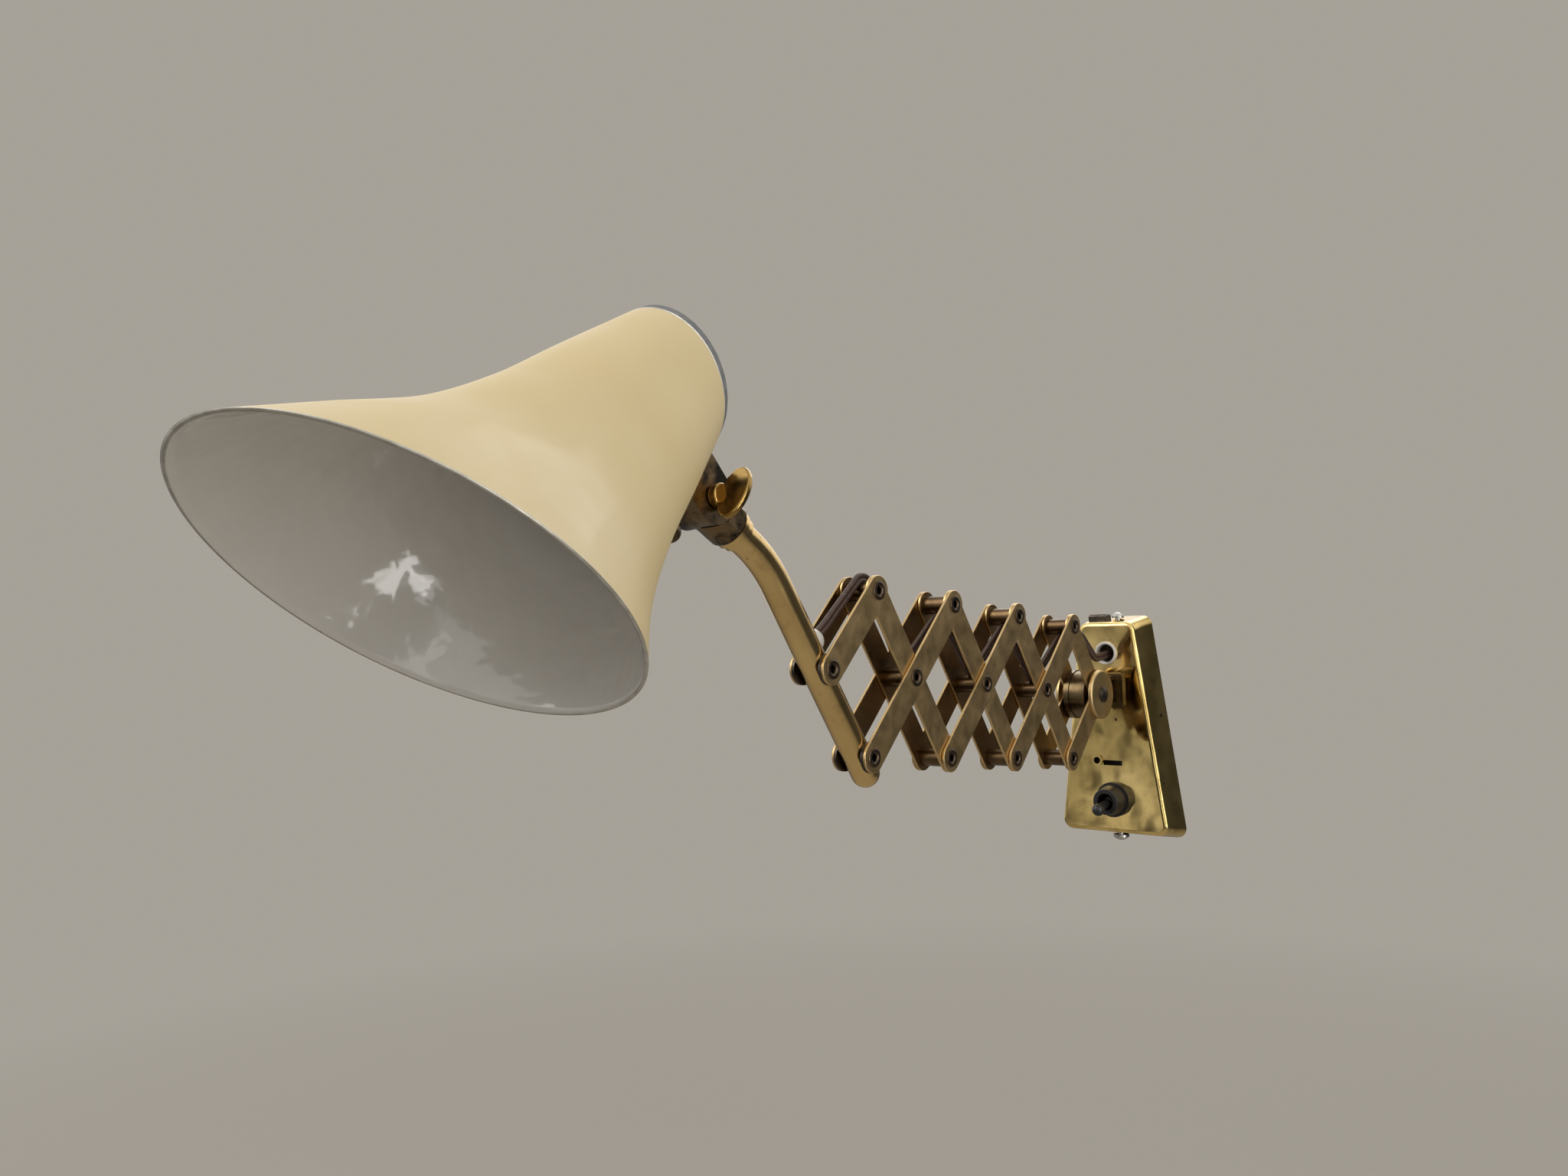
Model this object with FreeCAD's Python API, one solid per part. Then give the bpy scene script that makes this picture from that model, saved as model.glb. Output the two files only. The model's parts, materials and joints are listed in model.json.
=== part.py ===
import FreeCAD, Part
import math
import os

# Accordion wall lamp: a brass wall box carries a swivelling, tilting scissor arm of flat
# straps; the last strap pair is closed by a bent tube that holds a clamped knuckle and an
# obliquely cut trumpet shade.  Millimetres, +Z up, wall plane y = 0, the lamp reaches to -Y.
V = FreeCAD.Vector
os.makedirs("parts", exist_ok=True)

# ---- clearances -------------------------------------------------------------------------
RUN = 0.06            # radial play of a turning pin
SIDE = 0.1            # play between flat faces that slide on each other
SOFT_GAP = 0.4        # play round the flex
HOLE_PLAY = 0.3       # play of a fixed piece in its hole

# ---- scissor arm ------------------------------------------------------------------------
LINK_PITCH = 44.15    # pin to pin along half a strap
LINK_ANGLE = 49.85    # slope of the straps against the arm's own line
ARM_TILT = 6.56       # the arm rises towards the head
CELLS = 4             # column pairs between the wall pivot and the tube
BAR_WIDTH = 12.5
BAR_THICK = 1.2
BAR_EDGE = 0.3        # rounding of the strap's long edges
RIVET_RADIUS = 2.5    # barrel of a hollow rivet
RIVET_BORE = 1.6
RIVET_HEAD = 3.9
RIVET_EDGE = 0.3      # height of the rolled head at its rim
RIVET_RISE = 0.6
RIVET_DIMPLE = 0.1    # the roll dips this far into the bore
RIVET_REACH = 4.0     # how far a barrel enters its spacer
SPACER_RADIUS = 4.0

# ---- bent tube --------------------------------------------------------------------------
TUBE_RADIUS = 6.0
TUBE_WALL = 1.0
TUBE_TAIL = 8.5       # tube below its lower rivet, up to the start of the round end
TUBE_RUN = 83.7       # lower rivet to the start of the bend
TUBE_BEND_RADIUS = 55.0
TUBE_BEND = 24.9
TUBE_NECK = 8.6       # end of the bend to the end of the tube
WASHER_RADIUS = 6.3
WASHER_PLAY = 0.03
BUSH_ALONG = 10.5     # front rivet to the flex entry, along the tube
BUSH_RADIUS = 5.2
BUSH_RISE = 3.2
BUSH_NECK = 3.8
BUSH_BORE = 3.0

# ---- wall box ---------------------------------------------------------------------------
PIVOT_Z = 20.35       # height of the tilt pivot above the middle of the box
PIVOT_DROP = 37.3     # top of the box to the tilt pivot
BOX_HEIGHT = 115.3    # front face
BOX_TOP_HALF = 15.5
BOX_BOTTOM_HALF = 31.1
BOX_DEPTH = 18.0
BOX_FLARE = 3.3       # the rear outline is larger by this on every side
BOX_CORNER = 5.5
BOX_EDGE = 2.4
BOX_WALL = 1.0
PLATE_THICK = 2.0
PLATE_GAP = 0.6
PLATE_HOLE = 2.2
PLATE_HOLE_SPACING = 60.0
TAB_THICK = 2.5
TAB_HALF = 7.0
TAB_OUT = 13.0
COVER_SCREW_Y = 9.0
COVER_SCREW = 1.5
COVER_SCREW_LENGTH = 11.0
COVER_SCREW_LIFT = 0.8
COVER_SCREW_STEP = 1.2
COVER_SCREW_DOME = 2.0
COVER_SCREW_CUT = 0.9
TOP_SCREW_X = 3.7
TOP_SCREW_HEAD = 3.3
BOTTOM_SCREW_HEAD = 4.3
LUG_WIDTH = 10.7
LUG_X = -12.5
LUG_DEPTH = 6.0
LUG_Y = -12.0
LUG_RISE = 5.0        # above the front edge of the top wall
LUG_ROUND = 1.6
RING_X = -7.9
RING_RISE = 39.15     # lower edge of the box to the eyelet
RING_RADIUS = 3.2
RING_BORE = 1.9
RING_THICK = 0.8
SLOT_X = -4.5
SLOT_LENGTH = 11.0
SLOT_HEIGHT = 2.8
SLOT_RISE = 38.05

# ---- wall joint -------------------------------------------------------------------------
PIVOT_OUT = 46.0      # tilt pivot from the wall
SWIVEL_OUT = 27.0     # upright swivel pin from the wall
SWIVEL_PIN = 2.5
SWIVEL_HEAD = 3.7
SWIVEL_HEAD_THICK = 0.9
SWIVEL_BARREL = 5.5
SWIVEL_HALF = 6.0
EAR_THICK = 2.2
BRACKET_HALF_X = 9.5
BRACKET_HALF_Z = 9.2
BRACKET_THICK = 2.0
BRACKET_CORNER = 1.5
BRACKET_STUD = 1.5
BRACKET_STUD_X = 7.0
BRACKET_TAIL = 2.5
BRACKET_TAIL_THICK = 0.8
EYE_RADIUS = 12.5
EYE_HALF = 3.0
DRUM_RADIUS = 13.0
DISC_RADIUS = 13.0
DISC_THICK = 2.0
DISC_EDGE = 1.3
SHOULDER = 4.0
PIVOT_THREAD = 3.0
PIVOT_HEAD = 4.3
PIVOT_HEAD_STEP = 0.7
PIVOT_HEAD_DOME = 1.3
PIVOT_SLOT = 1.0
PIVOT_NUT = 1.6

# ---- switch and wiring in the box -------------------------------------------------------
SWITCH_X = 1.2
SWITCH_RISE = 18.15   # lower edge of the box to the switch
SWITCH_BASE = 9.5
SWITCH_BASE_THICK = 3.0
SWITCH_STEP = 1.2
SWITCH_NOSE = 7.0
SWITCH_LIP = 0.5
SWITCH_OUT = 12.0
SWITCH_BODY = 6.0
SWITCH_BODY_DEPTH = 12.0
LEVER_LENGTH = 18.0
LEVER_ROOT = 2.0
LEVER_THICK = 2.4
LEVER_TIP = 3.3
LEVER_DROP = 11.5     # the lever points down by this
LEVER_BALL = 3.4
SWITCH_CAVITY = 4.4
GROMMET_DROP = 16.7   # top of the box to the grommet
GROMMET_RADIUS = 6.4
GROMMET_BORE = 4.9
GROMMET_NECK = 5.3
GROMMET_RISE = 1.4
GROMMET_ROUND = 0.6
TERMINAL_HALF_X = 9.0
TERMINAL_BOTTOM = 8.0
TERMINAL_TOP = 22.0
TERMINAL_FRONT = 14.0
TERMINAL_WELL = 1.6
TERMINAL_WELL_DEPTH = 5.0

# ---- head -------------------------------------------------------------------------------
KNUCKLE_REACH = 17.4  # end of the tube to the tilt pivot of the head
KNUCKLE_RADIUS = 9.75
KNUCKLE_HALF = 7.5
KNUCKLE_NECK = 8.6
KNUCKLE_ROUND = 1.5
KNUCKLE_GUARD = 0.3
PASSAGE_LENGTH = 16.0
HEAD_TURN = 4.45      # the head stands turned on the tube by this
SPIGOT_LENGTH = 8.0
COLLAR_RINGS = ((0.0, 2.4, 7.0), (2.4, 0.6, 6.6), (3.0, 2.0, 7.8))   # start, length, radius
CLAMP_THREAD = 2.5
THUMB_NECK = 4.6
THUMB_NECK_LONG = 3.6
THUMB_ROUND = 0.9
THUMB_OVERLAP = 1.4
THUMB_TIP = 1.0       # the screw stands this far out of the far ear
PADDLE_LONG = 10.5
PADDLE_SHORT = 6.6
PADDLE_THICK = 2.6
PADDLE_LEAN = 31.0
FOOT_HALF = 9.5
FOOT_OUT = 30.6       # outer face of the foot from the shade's axis
FOOT_STUD = 2.5
STUD_LENGTH = 9.6
NUT_RADIUS = 4.2
NUT_THICK = 2.0

# ---- shade: a trumpet turned about its own axis, cut off aslant at both ends -------------
SHADE_SLOPE = 38.7    # the axis points down by this
SHADE_OFFSET = 40.8   # head pivot to the shade's axis
SHADE_PIVOT = 13.3    # head pivot along the axis from the narrow end
SHADE_LENGTH = 122.3  # along the axis, narrow end to mouth
MOUTH_SLANT = 16.2
NECK_SLANT = 16.5
SHADE_WALL = 1.2
# radius of the trumpet against the distance along its axis
SHADE_PROFILE = ((-15.0, 23.2), (0.0, 26.4), (30.0, 32.8), (60.0, 38.9),
                 (90.0, 48.7), (120.0, 64.5), (150.0, 80.2))
CAP_BAND = 2.9
CAP_SETBACK = 0.8
CAP_SHEET = 1.0
VENTS = 8
VENT_RADIUS = 2.5
VENT_RING = 17.0
HOLDER_START = 12.0
HOLDER_LENGTH = 30.0
HOLDER_RADIUS = 13.0
HOLDER_RING = 14.5
HOLDER_RING_BACK = 10.0   # mouth of the holder to the near side of its ring
HOLDER_RING_LONG = 4.0
HOLDER_BORE = 7.6
HOLDER_BOTTOM = 7.0
BULB_RADIUS = 13.5
BULB_CENTRE = 56.0
BULB_CAP = 7.2
BULB_NECK = 9.0
BULB_JOIN = 8.0       # the neck meets the globe this far below its centre
BULB_GAP = 0.5
SADDLE_THICK = 1.5
SADDLE_GAP = 0.05
SADDLE_HALF = 15.5
SADDLE_START = 8.0
SADDLE_END = 49.5
BRIDGE_HALF = 6.0
BRIDGE_THICK = 1.5
BRIDGE_HOLE = 5.0
DOME_ALONG = 45.0
DOME_ANGLE = 20.0
DOME_RADIUS = 3.8
DOME_RISE = 3.4
DOME_SHANK = 1.5
DOME_INSIDE = 4.5

# ---- flex: two round cores side by side ---------------------------------------------------
CORE_RADIUS = 1.2
CORE_APART = 1.1      # core axis from the middle of the flex
FLEX_HALF = CORE_APART + CORE_RADIUS
TERMINAL_EXIT = 8.0   # flex from the wall where it leaves the terminals
WAVE_BEND = 6.0
WAVE_OFF = 3.6        # corner of the flex's route from the axis of the pin that it passes
ENTRY_AHEAD = 15.0    # corner of the route before the tube
FLEX_TAIL = 5.0       # flex beyond the end of the tube
FLEX_SPLIT = 14.0     # flex inside the tube that still bends with the arm

X_AXIS = V(1, 0, 0)
CELL = LINK_PITCH * math.cos(math.radians(LINK_ANGLE))
RISE = LINK_PITCH * math.sin(math.radians(LINK_ANGLE))
INNER_FACE = TUBE_RADIUS
INNER_OUT = INNER_FACE + BAR_THICK
OUTER_FACE = INNER_OUT + SIDE
OUTER_OUT = OUTER_FACE + BAR_THICK
TOP_Z = PIVOT_Z + PIVOT_DROP
BOTTOM_Z = TOP_Z - BOX_HEIGHT
GROMMET_Z = TOP_Z - GROMMET_DROP
SWITCH_Z = BOTTOM_Z + SWITCH_RISE
THROUGH = 3 * SHADE_LENGTH    # half length of a cut that goes right through


def export(node, shape):
    if shape.isNull() or not shape.isValid():
        raise ValueError("bad solid in " + node)
    shape.exportStep("parts/" + node + ".step")
    print(node, len(shape.Solids), round(shape.Volume, 1))


def arm_point(out, up):
    """A point of the arm's own plane, reached out from the wall pivot, as a place in the room."""
    t = math.radians(ARM_TILT)
    y = -PIVOT_OUT - out * math.cos(t) + up * math.sin(t)
    z = PIVOT_Z + out * math.sin(t) + up * math.cos(t)
    return V(0, y, z)


def pin_place(name):
    """Place of a rivet column in the arm's plane: T top, B bottom, M middle, counted from the tube."""
    if name == "W":
        return 0, 0
    if name == "F":
        return 2 * CELLS * CELL, 0
    row, k = name[0], int(name[1])
    if row == "M":
        return (2 * CELLS - 2 * k) * CELL, 0
    up = RISE if row == "T" else -RISE
    return (2 * CELLS - 1 - 2 * k) * CELL, up


def pin_point(name):
    out, up = pin_place(name)
    return arm_point(out, up)


# straps that rise towards the wall lie outside, the others inside; half straps close both ends
OUTER_LINKS = {"1": ("B0", "M1", "T1"), "2": ("B1", "M2", "T2"), "3": ("B2", "M3", "T3"),
               "front": ("T0", "F"), "wall": ("B3", "W")}
INNER_LINKS = {"1": ("T0", "M1", "B1"), "2": ("T1", "M2", "B2"), "3": ("T2", "M3", "B3"),
               "wall": ("T3", "W")}
SPACED = {"1": ("M1", "T1"), "2": ("B1", "M2", "T2"), "3": ("B2", "M3", "T3"),
          "front": ("T0",), "wall": ("B3",)}


def rod_x(radius, x0, x1, at):
    return Part.makeCylinder(radius, x1 - x0, V(x0, at.y, at.z), X_AXIS)


def tube_x(outer, inner, x0, x1, at):
    return rod_x(outer, x0, x1, at).cut(bore_x(inner, at))


def bore_x(radius, at):
    return rod_x(radius, -THROUGH, THROUGH, at)


def bore(radius, at, along):
    """Long round cutter, the same way out on both sides of a point."""
    return Part.makeCylinder(radius, 2 * THROUGH, at - along * THROUGH, along)


def dome(radius, height, base, up):
    """Cap of a ball, of the given height, on a circle of the given radius."""
    ball_radius = (radius ** 2 + height ** 2) / (2 * height)
    ball = Part.makeSphere(ball_radius, base + up * (height - ball_radius))
    return ball.common(Part.makeCylinder(2 * radius, 2 * height, base, up))


def mirror_x(shape):
    return shape.mirror(V(0, 0, 0), X_AXIS)


def both_sides(shape):
    return Part.makeCompound([shape, mirror_x(shape)])


def strap(pins, x0, hole):
    """One flat strap with round ends on the first and last pin and a hole at every pin."""
    a, b = pin_point(pins[0]), pin_point(pins[-1])
    along = (b - a).normalize()
    side = along.cross(X_AXIS) * (BAR_WIDTH / 2)
    shift = V(x0, 0, 0)
    corners = [a + side + shift, b + side + shift, b - side + shift, a - side + shift]
    body = Part.Face(Part.makePolygon(corners + corners[:1])).extrude(V(BAR_THICK, 0, 0))
    ends = [rod_x(BAR_WIDTH / 2, x0, x0 + BAR_THICK, p) for p in (a, b)]
    body = body.fuse(ends).removeSplitter()
    body = body.makeFillet(BAR_EDGE, [e for e in body.Edges if e.BoundBox.XLength < BAR_EDGE])
    for name in pins:
        radius = SHOULDER + RUN if name == "W" else hole
        body = body.cut(bore_x(radius, pin_point(name)))
    return body


def rivet(name):
    """Hollow rivet: barrel through both straps into the spacer, rolled head outside."""
    start = INNER_FACE - RIVET_REACH
    if name in ("B0", "F"):
        start = INNER_FACE - TUBE_WALL - HOLE_PLAY
    rim = OUTER_OUT + RIVET_EDGE
    outline = [V(start, RIVET_BORE, 0), V(start, RIVET_RADIUS, 0), V(OUTER_OUT, RIVET_RADIUS, 0),
               V(OUTER_OUT, RIVET_HEAD, 0), V(rim, RIVET_HEAD, 0)]
    edges = [Part.LineSegment(p, q).toShape() for p, q in zip(outline, outline[1:])]
    roll_mid = V(OUTER_OUT + RIVET_RISE, (RIVET_HEAD + RIVET_BORE) / 2, 0)
    roll_end = V(OUTER_OUT - RIVET_DIMPLE, RIVET_BORE, 0)
    edges.append(Part.Arc(outline[-1], roll_mid, roll_end).toShape())
    edges.append(Part.LineSegment(roll_end, outline[0]).toShape())
    head = Part.Face(Part.Wire(edges)).revolve(V(0, 0, 0), X_AXIS, 360)
    head = Part.Solid(head.Shells[0]) if head.ShapeType != "Solid" else head
    head.translate(pin_point(name))
    return head


def spacer(name):
    return tube_x(SPACER_RADIUS, RIVET_RADIUS, -INNER_FACE + SIDE, INNER_FACE - SIDE, pin_point(name))


def arm_parts():
    for key, pins in OUTER_LINKS.items():
        export("outer_links_" + key, both_sides(strap(pins, OUTER_FACE, RIVET_RADIUS)))
        riveted = [p for p in pins if p != "W"]
        export("rivets_" + key, Part.makeCompound([both_sides(rivet(p)) for p in riveted]))
        export("spacers_" + key, Part.makeCompound([spacer(p) for p in SPACED[key]]))
    for key, pins in INNER_LINKS.items():
        export("inner_links_" + key, both_sides(strap(pins, INNER_FACE, RIVET_RADIUS + RUN)))


# ---- planar routes: straight runs joined by tangent arcs ---------------------------------
def rounded_wire(points, radii):
    """Open route through corner points; radii holds one bend radius for each inner corner."""
    edges = []
    here = points[0]
    for corner, nxt, radius in zip(points[1:-1], points[2:], radii):
        d0 = (corner - here).normalize()
        d1 = (nxt - corner).normalize()
        turn = math.acos(max(-1.0, min(1.0, d0.dot(d1))))
        reach = radius * math.tan(turn / 2)
        if reach > min((corner - here).Length, (nxt - corner).Length) - 0.01:
            raise ValueError("a bend of radius %s has no room" % radius)
        start = corner - d0 * reach
        stop = corner + d1 * reach
        inward = (d1 - d0).normalize()
        middle = corner + inward * (radius / math.cos(turn / 2) - radius)
        edges.append(Part.LineSegment(here, start).toShape())
        edges.append(Part.Arc(start, middle, stop).toShape())
        here = stop
    edges.append(Part.LineSegment(here, points[-1]).toShape())
    return Part.Wire(edges)


def route_start(wire):
    """First point of a route and its direction there."""
    first = wire.Edges[0]
    return first.valueAt(first.FirstParameter), first.tangentAt(first.FirstParameter)


def sweep(wire, section, area):
    solid = wire.makePipeShell([section], True, False)
    expected = area * wire.Length
    if abs(solid.Volume - expected) > 0.02 * expected:
        raise ValueError("a pipe's volume is off its section times its length")
    return solid


def pipe(wire, radius):
    start, tangent = route_start(wire)
    ring = Part.Wire([Part.Circle(start, tangent, radius).toShape()])
    return sweep(wire, ring, math.pi * radius ** 2)


def tube_frame():
    """Corner points of the tube's centre line, its direction before and after the bend."""
    low, front = pin_point("B0"), pin_point("F")
    up = (front - low).normalize()
    slope = math.radians(LINK_ANGLE + ARM_TILT - TUBE_BEND)
    after = V(0, -math.cos(slope), math.sin(slope))
    corner_reach = TUBE_BEND_RADIUS * math.tan(math.radians(TUBE_BEND) / 2)
    corner = low + up * (TUBE_RUN + corner_reach)
    end = corner + after * (corner_reach + TUBE_NECK)
    return low, up, corner, after, end


LOW_PIN, TUBE_UP, TUBE_CORNER, TUBE_AFTER, TUBE_END = tube_frame()
HEAD_PIVOT = TUBE_END + TUBE_AFTER * KNUCKLE_REACH
BUSH_POINT = pin_point("F") + TUBE_UP * BUSH_ALONG
BUSH_DIR = TUBE_UP.cross(X_AXIS)


def arm_tube():
    start = LOW_PIN - TUBE_UP * TUBE_TAIL
    route = rounded_wire([start, TUBE_CORNER, TUBE_END], [TUBE_BEND_RADIUS])
    bore_route = rounded_wire([start, TUBE_CORNER, TUBE_END + TUBE_AFTER], [TUBE_BEND_RADIUS])
    inner_radius = TUBE_RADIUS - TUBE_WALL
    outer = pipe(route, TUBE_RADIUS).fuse(Part.makeSphere(TUBE_RADIUS, start))
    inner = pipe(bore_route, inner_radius).fuse(Part.makeSphere(inner_radius, start))
    tube = outer.cut(inner)
    for name in ("B0", "F"):
        tube = tube.cut(bore_x(RIVET_RADIUS + RUN, pin_point(name)))
    return tube.cut(Part.makeCylinder(BUSH_NECK, 2 * TUBE_RADIUS, BUSH_POINT, BUSH_DIR))


def tube_washers():
    """Dark discs between the round tube and the flat outer straps."""
    inner = INNER_FACE + WASHER_PLAY
    outer = OUTER_FACE - SIDE / 2
    rings = [tube_x(WASHER_RADIUS, RIVET_RADIUS + RUN, inner, outer, pin_point(n)) for n in ("B0", "F")]
    return Part.makeCompound([both_sides(r) for r in rings])


def tube_bushing():
    """White bush in the tube's side, domed outside, where the flex goes in."""
    neck = Part.makeCylinder(BUSH_NECK, TUBE_RADIUS + BUSH_RISE / 4, BUSH_POINT, BUSH_DIR)
    ball = Part.makeSphere(BUSH_RADIUS, BUSH_POINT + BUSH_DIR * (TUBE_RADIUS + BUSH_RISE - BUSH_RADIUS))
    length = (TUBE_CORNER - LOW_PIN).Length
    tube_outside = Part.makeCylinder(TUBE_RADIUS, length, LOW_PIN, TUBE_UP)
    tube_inside = Part.makeCylinder(TUBE_RADIUS - TUBE_WALL, length, LOW_PIN, TUBE_UP)
    head = neck.fuse(ball).cut(tube_outside)
    throat = neck.common(tube_outside).cut(tube_inside)
    below = Part.makeCylinder(TUBE_RADIUS * 2, TUBE_RADIUS * 2, BUSH_POINT, BUSH_DIR * -1)
    body = head.fuse(throat).cut(below)
    hole = Part.makeCylinder(BUSH_BORE, 3 * TUBE_RADIUS, BUSH_POINT, BUSH_DIR)
    body = body.cut(hole).removeSplitter()
    return max(body.Solids, key=lambda s: s.Volume)


def tube_collar():
    """Two rings with a groove between them, pressed on the tube's upper end."""
    length = COLLAR_RINGS[-1][0] + COLLAR_RINGS[-1][1]
    base = TUBE_END - TUBE_AFTER * length
    rings = [Part.makeCylinder(radius, long, base + TUBE_AFTER * start, TUBE_AFTER)
             for start, long, radius in COLLAR_RINGS]
    inside = Part.makeCylinder(TUBE_RADIUS, 3 * length, base - TUBE_AFTER * length, TUBE_AFTER)
    return rings[0].fuse(rings[1:]).cut(inside).removeSplitter()


def tube_parts():
    export("arm_tube", arm_tube())
    export("tube_washers", tube_washers())
    export("tube_bushing", tube_bushing())
    export("tube_collar", tube_collar())


# ---- wall box -----------------------------------------------------------------------------
def box_outline(grow, y, inset=0.0):
    """Rounded trapezium, wider below, in the plane y; grow widens it all round."""
    g = grow - inset
    half_top = BOX_TOP_HALF + g
    half_bottom = BOX_BOTTOM_HALF + g
    corners = [V(-half_bottom, y, BOTTOM_Z - g), V(half_bottom, y, BOTTOM_Z - g),
               V(half_top, y, TOP_Z + g), V(-half_top, y, TOP_Z + g)]
    middle = (corners[0] + corners[1]) * 0.5
    loop = [middle] + corners[1:] + corners[:1] + [middle]
    return rounded_wire(loop, [BOX_CORNER - inset] * 4)


def box_solid(inset):
    """The tapered box; with an inset, its hollow, which runs out through the open back."""
    front = BOX_DEPTH - inset
    slope = BOX_FLARE / BOX_DEPTH
    front_grow = BOX_FLARE * (1 - front / BOX_DEPTH)
    rear_grow = BOX_FLARE + inset * slope
    wires = [box_outline(rear_grow, inset, inset), box_outline(front_grow, -front, inset)]
    body = Part.makeLoft(wires, True, True)
    return body.makeFillet(BOX_EDGE - inset, front_edges(body, -front))


def front_edges(solid, y):
    return [e for e in solid.Edges if all(abs(v.Point.y - y) < RUN for v in e.Vertexes)]


def front_hole(radius, x, z):
    """Cutter through the front wall only."""
    return Part.makeCylinder(radius, 4 * BOX_WALL, V(x, -BOX_DEPTH - 2 * BOX_WALL, z), V(0, 1, 0))


def wall_cover():
    cover = box_solid(0).cut(box_solid(BOX_WALL))
    ring_z = BOTTOM_Z + RING_RISE
    ring = Part.makeCylinder(RING_RADIUS, RING_THICK + BOX_WALL, V(RING_X, -BOX_DEPTH - RING_THICK, ring_z),
                             V(0, 1, 0))
    slot = Part.makeBox(SLOT_LENGTH, 4 * BOX_WALL, SLOT_HEIGHT,
                        V(SLOT_X, -BOX_DEPTH - 2 * BOX_WALL, BOTTOM_Z + SLOT_RISE - SLOT_HEIGHT / 2))
    holes = [front_hole(GROMMET_NECK + HOLE_PLAY, 0, GROMMET_Z),
             front_hole(SWITCH_BODY + HOLE_PLAY, SWITCH_X, SWITCH_Z),
             front_hole(RING_BORE, RING_X, ring_z), slot]
    holes += [front_hole(BRACKET_STUD, x, PIVOT_Z) for x in (-BRACKET_STUD_X, BRACKET_STUD_X)]
    holes += [end_hole(1), end_hole(-1)]
    return cover.fuse(ring).cut(Part.makeCompound(holes)).removeSplitter()


def screw_x(end):
    return TOP_SCREW_X if end > 0 else 0.0


def end_hole(end):
    """Clearance for a cover screw, from the middle of the box out through one end wall."""
    return Part.makeCylinder(COVER_SCREW, BOX_HEIGHT, V(screw_x(end), -COVER_SCREW_Y, 0), V(0, 0, end))


def wall_plate():
    """Flat plate against the wall with a bent tab at each end for the cover's screws."""
    inset = BOX_WALL + PLATE_GAP + BOX_FLARE * PLATE_THICK / BOX_DEPTH
    plate = Part.Face(box_outline(BOX_FLARE, 0, inset)).extrude(V(0, -PLATE_THICK, 0))
    for z in (-PLATE_HOLE_SPACING / 2, PLATE_HOLE_SPACING / 2):
        plate = plate.cut(bore(PLATE_HOLE, V(0, 0, z), V(0, 1, 0)))
    top = TOP_Z - BOX_WALL - PLATE_GAP - TAB_THICK
    bottom = BOTTOM_Z + BOX_WALL + PLATE_GAP
    for end, z in ((1, top), (-1, bottom)):
        tab = Part.makeBox(2 * TAB_HALF, TAB_OUT, TAB_THICK, V(-TAB_HALF, -TAB_OUT, z))
        plate = plate.fuse(tab).cut(end_hole(end))
    return plate.removeSplitter()


def cover_screw(end, radius):
    """Screw along Z through the cover's end wall into the plate's tab."""
    slope = BOX_FLARE * (1 - COVER_SCREW_Y / BOX_DEPTH)
    wall = TOP_Z + slope if end > 0 else BOTTOM_Z - slope
    up = V(0, 0, end)
    seat = V(screw_x(end), -COVER_SCREW_Y, wall) + up * COVER_SCREW_LIFT
    shank = Part.makeCylinder(COVER_SCREW, COVER_SCREW_LENGTH, seat, up * -1)
    step = Part.makeCylinder(radius, COVER_SCREW_STEP, seat, up)
    cap = dome(radius, COVER_SCREW_DOME, seat + up * COVER_SCREW_STEP, up)
    cut = Part.makeBox(4 * radius, COVER_SCREW_CUT, COVER_SCREW_DOME)
    cut.translate(seat + up * (COVER_SCREW_STEP + COVER_SCREW_DOME)
                  - V(2 * radius, COVER_SCREW_CUT / 2, COVER_SCREW_DOME / 2))
    return shank.fuse([step, cap]).cut(cut).removeSplitter()


def top_lug():
    """Small dark stop on the top wall beside the screw."""
    block = Part.makeBox(LUG_WIDTH, LUG_DEPTH, LUG_RISE, V(LUG_X, LUG_Y, TOP_Z))
    rims = [e for e in block.Edges if e.BoundBox.ZMin > TOP_Z + LUG_RISE - RUN]
    return block.makeFillet(LUG_ROUND, rims).cut(box_solid(0)).removeSplitter()


def grommet():
    """White ringed bush in the front face; the flex comes out of it."""
    front = V(0, -BOX_DEPTH, GROMMET_Z)
    back = V(0, 1, 0)
    flange = Part.makeCylinder(GROMMET_RADIUS, GROMMET_RISE, front - back * GROMMET_RISE, back)
    neck = Part.makeCylinder(GROMMET_NECK, 2 * BOX_WALL, front, back)
    rear = Part.makeCylinder(GROMMET_RADIUS, BOX_WALL, front + back * BOX_WALL, back)
    body = flange.fuse([neck, rear])
    body = body.cut(bore(GROMMET_BORE, front, back)).removeSplitter()
    rim = [e for e in body.Edges if e.BoundBox.YMax < -BOX_DEPTH - GROMMET_RISE + RUN]
    return body.makeFillet(GROMMET_ROUND, rim)


def switch_body():
    """Black moulded switch: stepped nose outside, works inside the box."""
    face = V(SWITCH_X, -BOX_DEPTH, SWITCH_Z)
    out = V(0, -1, 0)
    base = Part.makeCylinder(SWITCH_BASE, SWITCH_BASE_THICK, face, out)
    nose = Part.makeCone(SWITCH_BASE - SWITCH_STEP, SWITCH_NOSE, SWITCH_OUT - SWITCH_BASE_THICK,
                         face + out * SWITCH_BASE_THICK, out)
    works = Part.makeCylinder(SWITCH_BODY, SWITCH_BODY_DEPTH, face, out * -1)
    cavity = Part.makeCylinder(SWITCH_CAVITY, 2 * SWITCH_OUT, lever_pivot(), out)
    pocket = Part.makeSphere(SWITCH_CAVITY, lever_pivot())
    body = base.fuse([nose, works]).cut(cavity.fuse(pocket)).removeSplitter()
    lip = [e for e in body.Edges if e.BoundBox.YMax < -BOX_DEPTH - SWITCH_OUT + RUN]
    return body.makeFillet(SWITCH_LIP, lip)


def lever_pivot():
    return V(SWITCH_X, -BOX_DEPTH - SWITCH_OUT / 2, SWITCH_Z)


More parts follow.
